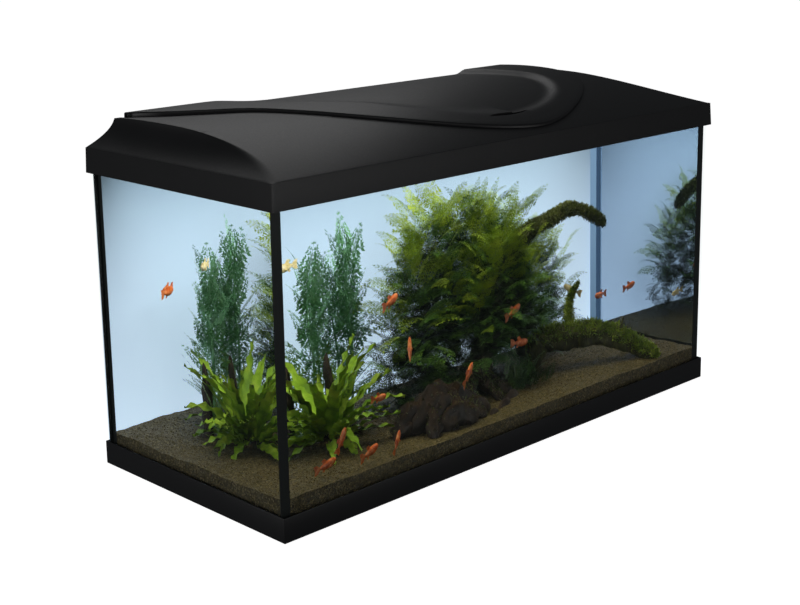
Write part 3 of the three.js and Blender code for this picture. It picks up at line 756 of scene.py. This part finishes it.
def limb(points, seed, sides=26, rough=0.2, ridges=5):
    line = curve_points(points)
    tangent = np.gradient(line[:, :3], axis=0)
    tangent /= np.linalg.norm(tangent, axis=1, keepdims=True)
    side = np.cross(tangent[0], (0.3, 0.2, 1.0))
    side /= np.linalg.norm(side)
    verts, normals = [], []
    n = len(line)
    for i in range(n):
        side = side - tangent[i] * np.dot(side, tangent[i])
        side /= np.linalg.norm(side)
        other = np.cross(tangent[i], side)
        end = min(1.0, (n - 1 - i) / 3.0)
        r = line[i, 3] * sqrt(max(0.02, 1 - (1 - end) ** 2))
        for j in range(sides):
            a = 2 * pi * j / sides
            d = side * cos(a) + other * sin(a)
            p = line[i, :3] + d * line[i, 3]
            lump = noise.noise(Vector(p * 0.045) + Vector((seed, 0, 0))) * 1.3
            fine = noise.noise(Vector(p * 0.16) + Vector((0, seed, 0)))
            wave = sin(ridges * a + 2.5 * noise.noise(Vector((seed, i * 0.06, 0))) + seed)
            k = 1 + rough * lump + rough * 0.45 * fine + rough * 0.35 * wave
            verts.append(line[i, :3] + d * r * k)
            normals.append(d)
    return np.array(verts), tube_faces(n, sides), np.array(normals)


def rooted(points, *settings):
    """A limb whose heights are measured from the gravel."""
    return limb([(x, y, GROUND + z, r) for x, y, z, r in points], *settings)


def joined(parts):
    verts, faces, start = [], [], 0
    for v, f in parts:
        verts.append(v)
        faces += [tuple(i + start for i in face) for face in f]
        start += len(v)
    return np.concatenate(verts), faces


def wooden(name, limbs, material, stands_for=()):
    v, f = joined([part[:2] for part in limbs])
    make(name, v, f, material, "tank", stands_for, 60)


def moss(name, limbs, material, count, seed, length, facing, width=0.9, lean=0.7):
    """Short blades on the sides of the limbs that face up."""
    rng = random.Random(seed)
    verts, faces = [], []
    total = sum(len(part[0]) for part in limbs)
    for v, _, nrm in limbs:
        for _ in range(int(count * len(v) / total)):
            i = rng.randrange(len(v))
            patch = noise.noise(Vector(v[i] * 0.03) + Vector((0, 0, seed)))
            if nrm[i][2] + 0.35 * patch + rng.uniform(-0.25, 0.25) < facing:
                continue
            p = v[i] + np.array([rng.uniform(-1.5, 1.5) for _ in range(3)])
            d = nrm[i] * rng.uniform(0.5, 1.0) + np.array([rng.uniform(-lean, lean) for _ in range(3)])
            d[2] += 0.25
            d /= np.linalg.norm(d)
            side = np.cross(d, [rng.uniform(-1, 1) for _ in range(3)])
            side /= max(1e-6, np.linalg.norm(side))
            ln = rng.uniform(*length)
            w = width * rng.uniform(0.7, 1.3)
            s = len(verts)
            mid = p + d * ln * 0.5 + side * 0.3
            verts += [p - d, mid - side * w, p + d * ln, mid + side * w]
            faces.append((s, s + 1, s + 2, s + 3))
    make(name, verts, faces, material, "tank", (), None)


def wood_pieces():
    trunk = rooted([(20, -5, -4, 27), (24, -4, 24, 24), (48, 0, 58, 19), (96, 15, 132, 14),
            (122, 20, 182, 11), (132, 23, 198, 10), (137, 24, 206, 7)], 1.3)
    inner = rooted([(60, 10, 90, 12), (88, 40, 150, 10), (104, 52, 190, 8), (120, 60, 214, 5)], 4.1)
    upper = rooted([(108, 18, 176, 11), (136, 24, 194, 12), (175, 31, 205, 10.5), (210, 29, 213, 9),
            (235, 28, 219, 8.5), (270, 26, 211, 7), (295, 24, 198, 7), (313, 23, 186, 4.5)], 2.2)
    roots = []
    for k, (ax, ay, r) in enumerate([(-60, -55, 12), (40, -60, 10), (70, 30, 9), (-40, 40, 9),
            (5, -85, 9), (-75, -15, 10)]):
        roots.append(rooted([(20, -5, 26, r + 3), (20 + ax * 0.4, -5 + ay * 0.4, 18, r),
                (20 + ax * 0.8, -5 + ay * 0.8, 7, r * 0.75), (20 + ax, -5 + ay, -5, r * 0.5)], 10 + k))
    wooden("driftwood_trunk", [trunk, inner] + roots, "wood", ["driftwood_upright"])
    wooden("driftwood_crown", [upper], "mossy_wood")
    moss("moss_on_crown", [upper], "moss_olive", 9000, 3, (2.0, 6.5), -0.75)
    moss("moss_on_trunk", [trunk] + roots, "moss_olive", 5000, 4, (2.0, 6.0), 0.25)

    low = rooted([(150, 10, 30, 15), (158, -4, 44, 16), (200, -30, 45, 18), (248, -60, 42, 17),
            (288, -98, 24, 14), (306, -142, 8, 10), (312, -156, 2, 6)], 6.4)
    twig = rooted([(200, -28, 46, 10), (212, -10, 84, 5), (224, -5, 100, 4), (234, -10, 114, 2.5)], 7.5)
    spur = rooted([(270, -80, 34, 7), (276, -86, 52, 3.5), (280, -88, 66, 2)], 8.5)
    foot = rooted([(158, -4, 44, 15), (150, 6, 20, 13), (146, 14, -4, 12)], 9.5)
    wooden("driftwood_arm", [low, twig, spur, foot], "mossy_wood", ["driftwood_low_branch"])
    moss("moss_on_arm", [low, twig], "moss_bright", 15000, 5, (2.5, 8.0), 0.05, 0.8, 0.9)

    lumps = []
    for k, (x, y, r, tall) in enumerate([(-107, -92, 46, 40), (-72, -70, 34, 34), (-136, -85, 34, 30),
            (-88, -120, 34, 24), (-50, -105, 28, 20)]):
        lumps.append(rooted([(x - r * 0.7, y + 6, -3, r * 0.5), (x - r * 0.25, y, tall * 0.6, r * 0.62),
                (x + r * 0.35, y - 4, tall * 0.55, r * 0.55), (x + r * 0.9, y - 8, -3, r * 0.35)],
                20 + k, 30, 0.32, 6))
    rng = random.Random(17)
    for k in range(9):
        a = 2 * pi * k / 9 + rng.uniform(-0.3, 0.3)
        far = rng.uniform(0.7, 1.0)
        dx, dy = 86 * far * cos(a), 55 * far * sin(a)
        x, y, high = -100 + rng.uniform(-14, 14), -95 + rng.uniform(-8, 8), rng.uniform(28, 44)
        thick = rng.uniform(0.8, 1.5)
        lumps.append(rooted([(x + dx * 0.15, y + dy * 0.15, high, 10 * thick),
                (x + dx * 0.5, y + dy * 0.5, high * 0.6, 9 * thick),
                (x + dx * 0.8, y + dy * 0.8, high * 0.2, 6 * thick),
                (x + dx * 0.92, y + dy * 0.92, -6, 4)], 30 + k, 18, 0.42, 5))
    wooden("root_wood", lumps, "root", ["root_lump"])
    moss("moss_on_roots", lumps, "moss_olive", 3800, 6, (2.0, 5.0), 0.45)

    small = []
    for k, (x, y, r) in enumerate([(10, -112, 7), (42, -86, 8), (64, -40, 9), (-20, -128, 5),
            (-205, 40, 9), (-180, 62, 8)]):
        small.append(rooted([(x - 2.4 * r, y - r, -2, r * 0.6), (x, y, r * 0.7, r),
                (x + 2.2 * r, y + r, -2, r * 0.5)], 50 + k, 16, 0.3, 4))
    small.append(rooted([(-196, 52, -3, 10), (-200, 50, 40, 8), (-204, 54, 78, 6),
            (-202, 58, 100, 2.5)], 61, 18, 0.35, 4))
    small.append(rooted([(-262, 62, -3, 9), (-266, 60, 40, 8), (-262, 64, 74, 6), (-264, 66, 96, 2.5)],
            62, 18, 0.35, 4))
    wooden("wood_scraps", small, "wood")


wood_pieces()


# ---------------------------------------------------------------- plants
INSIDE = [HALF_L - GLASS - 4, HALF_D - GLASS - 4]


def frond_shape(seed, pairs=15, lobes=5, wide=0.30, lobe_width=0.27, lobe_reach=0.34):
    rng = random.Random(seed)
    verts, faces = [], []

    def blade(base, angle, length, width):
        dx, dy = cos(angle), sin(angle)
        s = len(verts)
        for along, across in ((0, 0), (0.45, -0.5), (1, 0), (0.45, 0.5)):
            verts.append((base[0] + dx * length * along + dy * width * across,
                    base[1] + dy * length * along - dx * width * across,
                    0.12 * width * 2 * abs(across)))
        faces.append((s, s + 1, s + 2, s + 3))

    for i in range(12):
        u0, u1 = i / 12, (i + 1) / 12
        w0, w1 = 0.007 * (1 - u0) + 0.002, 0.007 * (1 - u1) + 0.002
        s = len(verts)
        verts.extend([(u0, -w0, 0), (u1, -w1, 0), (u1, w1, 0), (u0, w0, 0)])
        faces.append((s, s + 1, s + 2, s + 3))
    for i in range(pairs):
        s0 = 0.16 + 0.80 * i / (pairs - 1)
        reach = wide * (1 - s0) ** 0.75 * (0.35 + 0.65 * min(1, s0 / 0.35)) + 0.03
        for sign in (-1, 1):
            angle = sign * radians(rng.uniform(48, 62))
            length = reach * rng.uniform(0.85, 1.1)
            at = (s0 + rng.uniform(-0.01, 0.01), 0.0)
            for k in range(lobes):
                q = (k + 0.7) / (lobes + 0.5)
                base = (at[0] + cos(angle) * length * q, at[1] + sin(angle) * length * q)
                ll = length * lobe_reach * (1 - 0.5 * q) * rng.uniform(0.85, 1.15)
                for turn in (-1, 1):
                    blade(base, angle + turn * radians(rng.uniform(34, 48)), ll, ll * lobe_width)
            stalk = 0.012
            s = len(verts)
            nx, ny = -sin(angle) * stalk / 2, cos(angle) * stalk / 2
            ex, ey = at[0] + cos(angle) * length * 0.85, at[1] + sin(angle) * length * 0.85
            verts.extend([(at[0] - nx, at[1] - ny, 0), (ex - nx / 3, ey - ny / 3, 0),
                    (ex + nx / 3, ey + ny / 3, 0), (at[0] + nx, at[1] + ny, 0)])
            faces.append((s, s + 1, s + 2, s + 3))
            blade((at[0] + cos(angle) * length * 0.75, at[1] + sin(angle) * length * 0.75), angle,
                    length * 0.34, length * 0.10)
    blade((0.95, 0.0), 0.0, 0.09, 0.025)
    return np.array(verts), faces


def lance_shape(seed, waves=5.0):
    rng = random.Random(seed)
    rows, cols = 18, 5
    verts = []
    phase = rng.uniform(0, 6)
    for i in range(rows):
        u = i / (rows - 1)
        w = 0.5 * sin(pi * min(1, u ** 0.62)) ** 0.8 if 0 < u < 1 else 0.01
        w = max(w, 0.045 * (1 - u))
        for j in range(cols):
            v = -1 + 2 * j / (cols - 1)
            ruffle = 0.16 * abs(v) * sin(2 * pi * waves * u + phase + v)
            verts.append((u, v * w * (1 + 0.10 * sin(2 * pi * waves * u * 1.3 + phase)),
                    0.12 * abs(v) + ruffle))
    return np.array(verts), grid_faces(rows, cols)


def placed(shape, base, azimuth, rise, droop, length, width_scale=1.0, roll=0.0, bend=0.0, sag=0.0):
    """A flat leaf bent along its stalk: rise is the first slope, droop its turn down to the tip."""
    verts, faces = shape
    steps = 24
    u = np.linspace(0, 1.08, steps)
    slope = rise - droop * u ** 1.5
    turn = azimuth + bend * u
    step = length * (u[1] - u[0])
    t = np.stack([np.cos(slope) * np.cos(turn), np.cos(slope) * np.sin(turn), np.sin(slope)], -1)
    line = np.array(base) + np.concatenate([[np.zeros(3)], np.cumsum(t[:-1] * step, axis=0)])
    side = np.stack([-np.sin(turn), np.cos(turn), np.zeros(steps)], -1)
    normal = np.cross(t, side)
    c, s = cos(roll), sin(roll)
    side, normal = side * c + normal * s, normal * c - side * s
    out = np.zeros((len(verts), 3))
    for k in range(3):
        out[:, k] = (np.interp(verts[:, 0], u, line[:, k])
                + verts[:, 1] * length * width_scale * np.interp(verts[:, 0], u, side[:, k])
                + verts[:, 2] * length * width_scale * np.interp(verts[:, 0], u, normal[:, k]))
    out[:, 2] -= sag * (verts[:, 1] * width_scale) ** 2 * length
    return contained(out), faces


def contained(v):
    for axis in (0, 1):
        limit = INSIDE[axis]
        over = np.clip(np.abs(v[:, axis]) - (limit - 8), 0, None)
        v[:, axis] = np.sign(v[:, axis]) * (np.minimum(np.abs(v[:, axis]), limit - 8)
                + 8 * (1 - np.exp(-over / 8)))
    over = np.clip(v[:, 2] - (WATER_TOP - 14), 0, None)
    v[:, 2] = np.minimum(v[:, 2], WATER_TOP - 14) + 12 * (1 - np.exp(-over / 12))
    v[:, 2] = np.maximum(v[:, 2], GROUND - 4)
    return v


FEATHERY = [frond_shape(k, 9, 3, 0.36, 0.30, 0.44) for k in range(6)]
COARSE = [frond_shape(20 + k, 10, 3, 0.26, 0.40, 0.44) for k in range(3)]
NARROW = [frond_shape(40 + k, 7, 2, 0.40, 0.46, 0.62) for k in range(4)]
LANCE = [lance_shape(60 + k, 4.0 + k * 0.5) for k in range(5)]


def plant(name, parts, material, stands_for=()):
    v, f = joined(parts)
    make(name, v, f, material, "tank", stands_for, None)


def bush(name, crowns, seed, stands_for):
    """Each crown is x, y, lowest and highest leaf, radius, number of fronds and their length."""
    rng = random.Random(seed)
    layers = {}
    for x, y, low, high, radius, count, length in crowns:
        for k in range(count):
            h = (k + rng.uniform(0, 1)) / count
            azimuth = rng.uniform(0, 2 * pi)
            out = radius * rng.uniform(0.0, 0.75)
            z = GROUND + low + (high - low) * h
            rise = radians(rng.uniform(5, 40) + 45 * h)
            ln = length * rng.uniform(0.75, 1.15) * (1.05 - 0.25 * h)
            # Painted light and shade: high and outer fronds get the lighter copy of the leaf colour,
            # low and inner fronds the darker copies.
            tone = 0.75 * h + 0.5 * out / radius + rng.uniform(-0.18, 0.18)
            layer = "leaf_painted_lit" if tone > 0.68 else "leaf_painted_half_lit" if tone > 0.40 else "leaf_painted_shaded"
            v, f = placed(rng.choice(FEATHERY), (x + out * cos(azimuth), y + out * sin(azimuth), z),
                    azimuth, rise, radians(rng.uniform(35, 85)), ln, 1.0, rng.uniform(-0.5, 0.5),
                    rng.uniform(-0.4, 0.4), rng.uniform(0.2, 1.2))
            layers.setdefault(layer, []).append((v, f))
            # Painted shade: extra fronds in a near-black shade colour fill the middle of each crown.
            inner = (x + rng.uniform(-0.4, 0.4) * radius, y + rng.uniform(-0.4, 0.4) * radius,
                    z - 0.12 * (high - low))
            layers.setdefault("shade", []).append(placed(rng.choice(COARSE), inner,
                    rng.uniform(0, 2 * pi), radians(rng.uniform(-30, 80)), 0.8, 0.62 * ln, 1.5,
                    rng.uniform(-1.2, 1.2)))
    for layer, parts in layers.items():
        plant(f"{name}_{layer}", parts, layer, stands_for)


def stems(name, crowns, seed, material, stands_for):
    """Each crown is x, y, height, number of fronds and their length."""
    rng = random.Random(seed)
    parts = []
    for x, y, high, count, length in crowns:
        for k in range(count):
            h = k / count
            azimuth = k * 2.4 + rng.uniform(-0.4, 0.4)
            z = GROUND + 20 + (high - length * 0.75 - 20) * h ** 0.8
            rise = radians(35 + 45 * h + rng.uniform(-8, 8))
            v, f = placed(rng.choice(NARROW), (x, y, z), azimuth, rise, radians(rng.uniform(10, 35)),
                    length * rng.uniform(0.8, 1.1), 1.0, rng.uniform(-0.3, 0.3), rng.uniform(-0.2, 0.2),
                    0.4)
            parts.append((v, f))
        stalk = limb([(x, y, GROUND - 3, 2.2), (x + 3, y - 2, GROUND + high * 0.35, 1.9),
                (x - 2, y + 2, GROUND + high * 0.6, 1.5), (x, y, GROUND + high * 0.8, 0.9)], seed, 8,
                0.1, 2)
        parts.append((stalk[0], stalk[1]))
    plant(name, parts, material, stands_for)


def fern():
    rng = random.Random(11)
    parts = []
    cx, cy = -236, 2
    for k in range(64):
        azimuth = k * 2.399 + rng.uniform(-0.3, 0.3)
        level = (k % 8) / 7
        rise = radians(8 + 62 * level + rng.uniform(-6, 6))
        droop = radians(rng.uniform(40, 95) * (1 - 0.45 * level))
        length = rng.uniform(62, 92) + 22 * level
        out = rng.uniform(2, 22) * (1 - 0.5 * level)
        base = (cx + 1.1 * out * cos(azimuth), cy + 1.6 * out * sin(azimuth), GROUND + 4 + 10 * level)
        parts.append(placed(rng.choice(LANCE), base, azimuth, rise, droop, 1.12 * length, 0.165,
                rng.uniform(-0.5, 0.5), rng.uniform(-0.5, 0.5)))
    plant("fern_leaves", parts, "leaf_fern", ["fern"])
    parts = []
    for k, (x, y, a, ln) in enumerate([(-262, 40, 2.2, 120), (-246, 46, 1.4, 128), (-222, 44, 0.8, 118),
            (-210, 30, 0.3, 100)]):
        parts.append(placed(COARSE[k % 3], (x, y, GROUND + 2), a, radians(76), radians(38), ln, 1.0,
                0.2))
    plant("fern_fronds", parts, "leaf_painted_half_lit")


def plants():
    fern()
    stems("stems_left", [(-210, 88, 240, 32, 62), (-194, 102, 206, 24, 54)], 12, "leaf_teal",
            ["stem_plant_left"])
    stems("stems_right", [(-150, 80, 258, 34, 64), (-164, 98, 220, 26, 56), (-140, 98, 190, 22, 50)],
            13, "leaf_teal", ["stem_plant_right"])
    bush("bush_a", [(-78, 24, 20, 205, 42, 90, 66), (-40, 36, 30, 240, 46, 110, 72),
            (-94, 40, 10, 130, 28, 44, 56), (4, 70, 50, 252, 46, 100, 72), (0, 26, 20, 180, 36, 80, 62),
            (44, 56, 40, 246, 44, 100, 70)], 21, ["bush_left"])
    bush("bush_b", [(88, 84, 60, 244, 46, 100, 70), (92, 44, 90, 226, 36, 80, 64),
            (150, 100, 40, 218, 46, 110, 70), (205, 108, 20, 184, 46, 90, 66),
            (255, 116, 10, 148, 38, 56, 58), (140, 40, 30, 172, 36, 80, 60)], 22,
            ["bush_right"])
    bush("trunk_ferns", [(50, -14, 70, 196, 30, 80, 60), (84, -4, 70, 206, 30, 80, 60),
            (112, -2, 60, 176, 28, 60, 56), (24, -20, 50, 150, 26, 50, 50)], 23, [])
    rng = random.Random(31)
    parts = []
    for _ in range(26):
        x, y = 96 + rng.uniform(-32, 32), -46 + rng.uniform(-26, 26)
        parts.append(placed(rng.choice(NARROW), (x, y, GROUND - 2), rng.uniform(0, 6.28),
                radians(rng.uniform(40, 80)), radians(rng.uniform(20, 60)), rng.uniform(34, 62), 1.0,
                rng.uniform(-0.5, 0.5)))
    plant("moss_tuft", parts, "leaf_painted_shaded", ["moss_clump"])


plants()


# ---------------------------------------------------------------- fish
def fish_shape():
    rings, sides = 12, 12
    verts = []
    for i in range(rings):
        u = i / (rings - 1)
        tall = 4.3 * sin(pi * min(1, u * 0.86 + 0.10)) ** 0.8 * (1 - 0.25 * u) + 0.25
        wide = tall * 0.52
        x = 14 - 23 * u
        lift = -0.5 * sin(pi * u)
        if i == 0:
            tall, wide = 0.9, 0.6
        for j in range(sides):
            a = 2 * pi * j / sides
            verts.append((x, wide * cos(a), tall * sin(a) + lift))
    faces = tube_faces(rings, sides)[:-1]

    def fin(outline):
        s = len(verts)
        verts.extend(outline)
        faces.append(tuple(range(s, s + len(outline))))

    fin([(-8, 0, 1.2), (-12, 0.3, 4.2), (-16, 0.6, 4.6), (-15, 0.5, 0), (-16, 0.6, -4.6),
            (-12, 0.3, -4.2), (-8, 0, -1.2)])
    fin([(2, 0, 3.2), (-1, 0.2, 6.6), (-5, 0.3, 5.8), (-4, 0, 2.4)])
    fin([(-1, 0, -3.0), (-3, 0.2, -5.6), (-6, 0.2, -4.6), (-4, 0, -2.0)])
    fin([(6, 1.6, -1.0), (2, 3.4, -2.6), (3, 2.2, 0)])
    fin([(6, -1.6, -1.0), (2, -3.4, -2.6), (3, -2.2, 0)])
    return np.array(verts), faces


FISH_SCALE = 1.4
# place in mm, heading and climb in degrees, size, and 1 for a pale fish
FISH = [(-258, 60, 265, 200, 0, 1.0, 1), (-308, 100, 230, 10, 5, 1.0, 0),
        (-269, 130, 224, 190, -4, 0.9, 0), (-161, -60, 217, 30, 10, 1.05, 0),
        (-130, -60, 145, 60, 62, 1.0, 0), (-207, -100, 110, 20, -6, 0.8, 0),
        (-76, -140, 114, 35, 32, 1.0, 0), (62, -60, 158, 20, 14, 1.0, 0),
        (75, -60, 112, 10, -8, 0.95, 0), (246, -60, 145, 200, 4, 0.85, 0),
        (312, -60, 145, 15, 4, 0.85, 0), (368, -140, 133, 190, -4, 0.75, 1),
        (226, 0, 150, 120, 20, 0.9, 1), (-316, -140, 62, 15, 6, 0.95, 0),
        (-249, -144, 60, 25, 8, 1.0, 0), (-205, -145, 60, 40, 42, 0.85, 0),
        (-275, -110, 76, 10, 60, 0.8, 0)]


def school():
    body, faces = fish_shape()
    groups = {0: [], 1: []}
    for x, y, z, yaw, climb, size, pale in FISH:
        turn = Matrix.Rotation(radians(yaw), 3, "Z") @ Matrix.Rotation(-radians(climb), 3, "Y")
        v = (np.array(turn) @ (body * size * FISH_SCALE).T).T + np.array([x, y, z])
        groups[pale].append((v, faces))
    for pale, name in ((0, "fish_orange"), (1, "fish_pale")):
        v, f = joined(groups[pale])
        make(name, v, f, "fish_pale" if pale else "fish", "tank", (), 50)


school()

# ---------------------------------------------------------------- materials on the CAD nodes that stay
NODE_MATERIALS = {
    "foam": ["foam_mat"], "glass": ["bottom_pane", "front_brace", "back_brace"],
    "front_glass": ["front_pane", "left_pane"], "right_glass_painted_shade": ["right_pane"],
    "back_glass": ["back_pane"],
    "film": ["background_film"], "blue_silicone_painted_glow": ["bead_back_right"],
    "silicone": ["bead_front_left", "bead_front_right", "bead_back_left", "bead_floor"],
    "black_plastic": ["hinge_bracket_left", "hinge_bracket_right", "light_housing", "lamp_driver"],
    "steel": ["hinge_pin_left", "hinge_pin_right"], "clear_plastic": ["light_lens"],
    "aluminium": ["reflector"], "lamp_tube": ["tube_front", "tube_rear"],
    "gland_rubber": ["cable_gland"], "white_plastic": [],
}
for where in ("front", "rear"):
    for end in ("left", "right"):
        NODE_MATERIALS["white_plastic"].append(f"tube_socket_{where}_{end}")
        NODE_MATERIALS["steel"].append(f"light_screw_{where}_{end}")


def dress(name, material):
    obj = frame["nodes"][name]
    if not obj.material_slots:
        obj.data.materials.append(M[material])
    for slot in obj.material_slots:
        slot.material = M[material]
    if name.startswith(("tube", "hinge_pin", "light_screw", "cable")):
        obj.data.shade_smooth()
        obj.data.set_sharp_from_angle(angle=radians(40))
    elif name not in ("background_film", "back_pane") and not name.startswith("bead"):
        bevel(obj, 0.4, 2)


for material, names in NODE_MATERIALS.items():
    for name in names:
        dress(name, material)


# ---------------------------------------------------------------- studio
def add_stage():
    n = Nodes("floor")
    n.color(n.ramp(n.noise(2, 2), [(0.3, (0.50, 0.50, 0.50)), (0.7, (0.52, 0.52, 0.52))]))
    n.rough(n.noise(8, 2), 0.7, 0.8)
    fill(n.bsdf, Emission_Color=(1, 1, 1, 1))
    depth = n.add("ShaderNodeLightPath").outputs["Diffuse Depth"]
    n.link(n.mapped(depth, 0.97, 0.0, 0.0, 0.5), n.bsdf.inputs["Emission Strength"])
    n.mat.cycles.emission_sampling = "NONE"
    verts, faces = box_mesh(-24, 24, -24, 24, -0.02, -0.0005)
    mesh = bpy.data.meshes.new("floor")
    mesh.from_pydata(verts, [], faces)
    mesh.materials.append(n.mat)
    floor = add_object("floor", mesh)
    floor.visible_glossy = False
    floor.visible_diffuse = False


def add_area(name, place, target, size, power, color=(1, 1, 1)):
    data = bpy.data.lights.new(name, "AREA")
    data.shape = "RECTANGLE"
    data.size, data.size_y = size
    data.energy = power
    data.color = color
    lamp = add_object(name, data)
    lamp.location = place
    lamp.rotation_mode = "QUATERNION"
    lamp.visible_camera = False
    lamp.visible_transmission = False
    lamp.rotation_quaternion = (Vector(target) - Vector(place)).to_track_quat("-Z", "Y")
    return lamp


WORLD_LIGHT = 0.09      # what the soft surfaces get
WORLD_GLOSS = 0.05      # what the shiny ones mirror


def add_world():
    world = bpy.data.worlds.new("world")
    bpy.context.scene.world = world
    world.use_nodes = True
    tree = world.node_tree
    tree.nodes.clear()
    out = tree.nodes.new("ShaderNodeOutputWorld")
    path = tree.nodes.new("ShaderNodeLightPath")
    bounced = tree.nodes.new("ShaderNodeMath")
    bounced.operation = "GREATER_THAN"
    bounced.inputs[1].default_value = 0.5
    tree.links.new(path.outputs["Diffuse Depth"], bounced.inputs[0])
    mirrored = tree.nodes.new("ShaderNodeMath")
    mirrored.operation = "SUBTRACT"
    mirrored.use_clamp = True
    tree.links.new(path.outputs["Is Glossy Ray"], mirrored.inputs[0])
    tree.links.new(path.outputs["Is Transmission Ray"], mirrored.inputs[1])
    shades = []
    for color, strength in (((1, 1, 1), 1.0), ((0.9, 0.95, 1), WORLD_GLOSS),
            ((0.97, 0.98, 1), WORLD_LIGHT)):
        shade = fill(tree.nodes.new("ShaderNodeBackground"), Color=(*color, 1), Strength=strength)
        shades.append(shade.outputs[0])
    lit = shades[0]
    for choice, shade in ((mirrored, shades[1]), (bounced, shades[2])):
        mix = tree.nodes.new("ShaderNodeMixShader")
        tree.links.new(choice.outputs[0], mix.inputs[0])
        tree.links.new(lit, mix.inputs[1])
        tree.links.new(shade, mix.inputs[2])
        lit = mix.outputs[0]
    tree.links.new(lit, out.inputs["Surface"])
    world.cycles.sampling_method = "NONE"


add_stage()
add_world()
add_area("back_softbox", (1.3, 2.15, 1.7), (-0.2, 0, 0.3), (1.4, 1.0), 4.0)
add_area("key", (-1.6, -2.2, 2.0), (0, 0, 0.2), (1.6, 1.6), 5)
add_area("left_fill", (-2.9, 0.5, 0.5), (0, 0, 0.3), (1.2, 0.8), 13)
add_area("front_fill", (0.9, -2.8, 0.5), (0, 0, 0.2), (1.6, 0.8), 7)
lamp_place = (0, 0.02, GLASS_TOP * MM - 0.006)
inner = add_area("aquarium_lamp", lamp_place, (0, 0.0, 0), (0.70, 0.22), 4.0, (1.0, 0.99, 0.96))
inner.rotation_quaternion = (1, 0, 0, 0)
inner.visible_glossy = False

scene = bpy.context.scene
scene.view_settings.view_transform = "Standard"
scene.cycles.max_bounces = 16
scene.cycles.transmission_bounces = 16
scene.cycles.transparent_max_bounces = 24
scene.cycles.diffuse_bounces = 3
scene.cycles.glossy_bounces = 6
scene.cycles.caustics_reflective = False
scene.cycles.caustics_refractive = False
